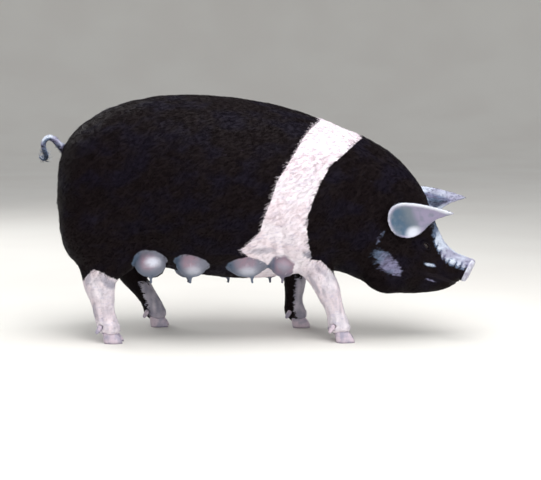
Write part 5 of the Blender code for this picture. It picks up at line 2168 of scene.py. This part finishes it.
@dataclass(frozen=True)
class Studio:
    """The floor, the soft lights and the camera at the picture's viewing angle."""

    frame_width: int = 541  # the picture's width in pixels
    focal: float = 1404.0  # the picture's focal length in pixels
    eye_height: float = 1.0
    distance: float = 5.2
    aside: float = 0.0537
    below_horizon: float = 174.0  # how far the picture's middle lies below its horizon, in pixels
    # The floor's profile: how far out and how high its rings lie, so that it shows no horizon
    floor_rings: tuple[tuple[float, float], ...] = (
        (9.0, 0.0), (10.5, 0.10), (11.8, 0.45), (12.8, 1.1), (13.4, 2.0), (13.7, 3.2), (13.8, 5.0),
    )

    def build_camera(self) -> Object:
        """Places the camera.

        Returns:
            The camera.
        """
        data = bpy.data.cameras.new("camera")
        data.sensor_width = 36.0
        data.lens = data.sensor_width * self.focal / self.frame_width
        camera = bpy.data.objects.new("camera", data)
        camera.location = (self.aside, -self.distance, self.eye_height)
        camera.rotation_euler = (math.radians(90) - math.atan(self.below_horizon / self.focal), 0, 0)
        bpy.context.scene.collection.objects.link(camera)
        bpy.context.scene.camera = camera
        return camera

    def build_lights(self) -> None:
        """Hangs the soft lights."""
        for name, place, aim, size, power in (
            ("overhead", (0.2, -0.9, 3.4), (0.0, 0.0, 0.4), 3.2, 130.0),
            ("front", (1.6, -3.8, 2.2), (0.2, 0.0, 0.4), 2.4, 62.0),
            ("rear", (-2.6, 2.6, 2.6), (0.0, 0.0, 0.4), 2.6, 60.0),
        ):
            data = bpy.data.lights.new(name, "AREA")
            data.size = size
            data.energy = power
            light = bpy.data.objects.new(name, data)
            light.location = place
            light.rotation_euler = (Vector(aim) - Vector(place)).to_track_quat("-Z", "Y").to_euler()
            bpy.context.scene.collection.objects.link(light)

    def build(self) -> None:
        """Builds the floor, the lights, the air and the camera."""
        bm = bmesh.new()
        turns = np.linspace(0, 2 * math.pi, 96, endpoint=False)
        rings = [
            [bm.verts.new((reach * math.cos(turn), reach * math.sin(turn), height)) for turn in turns]
            for reach, height in self.floor_rings
        ]
        bm.faces.new(rings[0])
        for inner, outer in zip(rings, rings[1:]):
            for i in range(len(turns)):
                bm.faces.new((inner[i - 1], outer[i - 1], outer[i], inner[i]))
        mesh = mesh_of(bm, "floor")
        mesh.shade_smooth()
        mesh.materials.append(StudioFinish().material())
        new_object("floor", mesh)
        world = bpy.data.worlds.new("studio")
        world.use_nodes = True
        sky = world.node_tree.nodes["Background"]
        sky.inputs["Color"].default_value = linear("#eef0f3")
        sky.inputs["Strength"].default_value = 0.55
        bpy.context.scene.world = world
        bpy.context.scene.view_settings.view_transform = "Standard"
        self.build_lights()
        self.build_camera()


def main() -> None:
    """Builds the skin, eyes, claws, coat and studio in that order."""
    logging.basicConfig(level=logging.INFO, format="%(name)s: %(message)s")
    skin = Skin()
    surface = skin.build()
    LOG.info("skin: %d triangles", len(surface.obj.data.polygons))
    wet, lash = WetEye().material(), LashHair().material()
    for eye in skin.eyes:
        LOG.info("%s: built", eye.build(wet).name)
        LOG.info("%s: built", eye.build_lashes(lash).name)
    horn = HornFinish().material()
    for foot in Foot:
        LOG.info("%s: built", Claws(foot).build(horn).name)
    LOG.info("coat: %d pieces", len(Coat().build(surface, skin)))
    Studio().build()


if __name__ == "__main__":
    main()
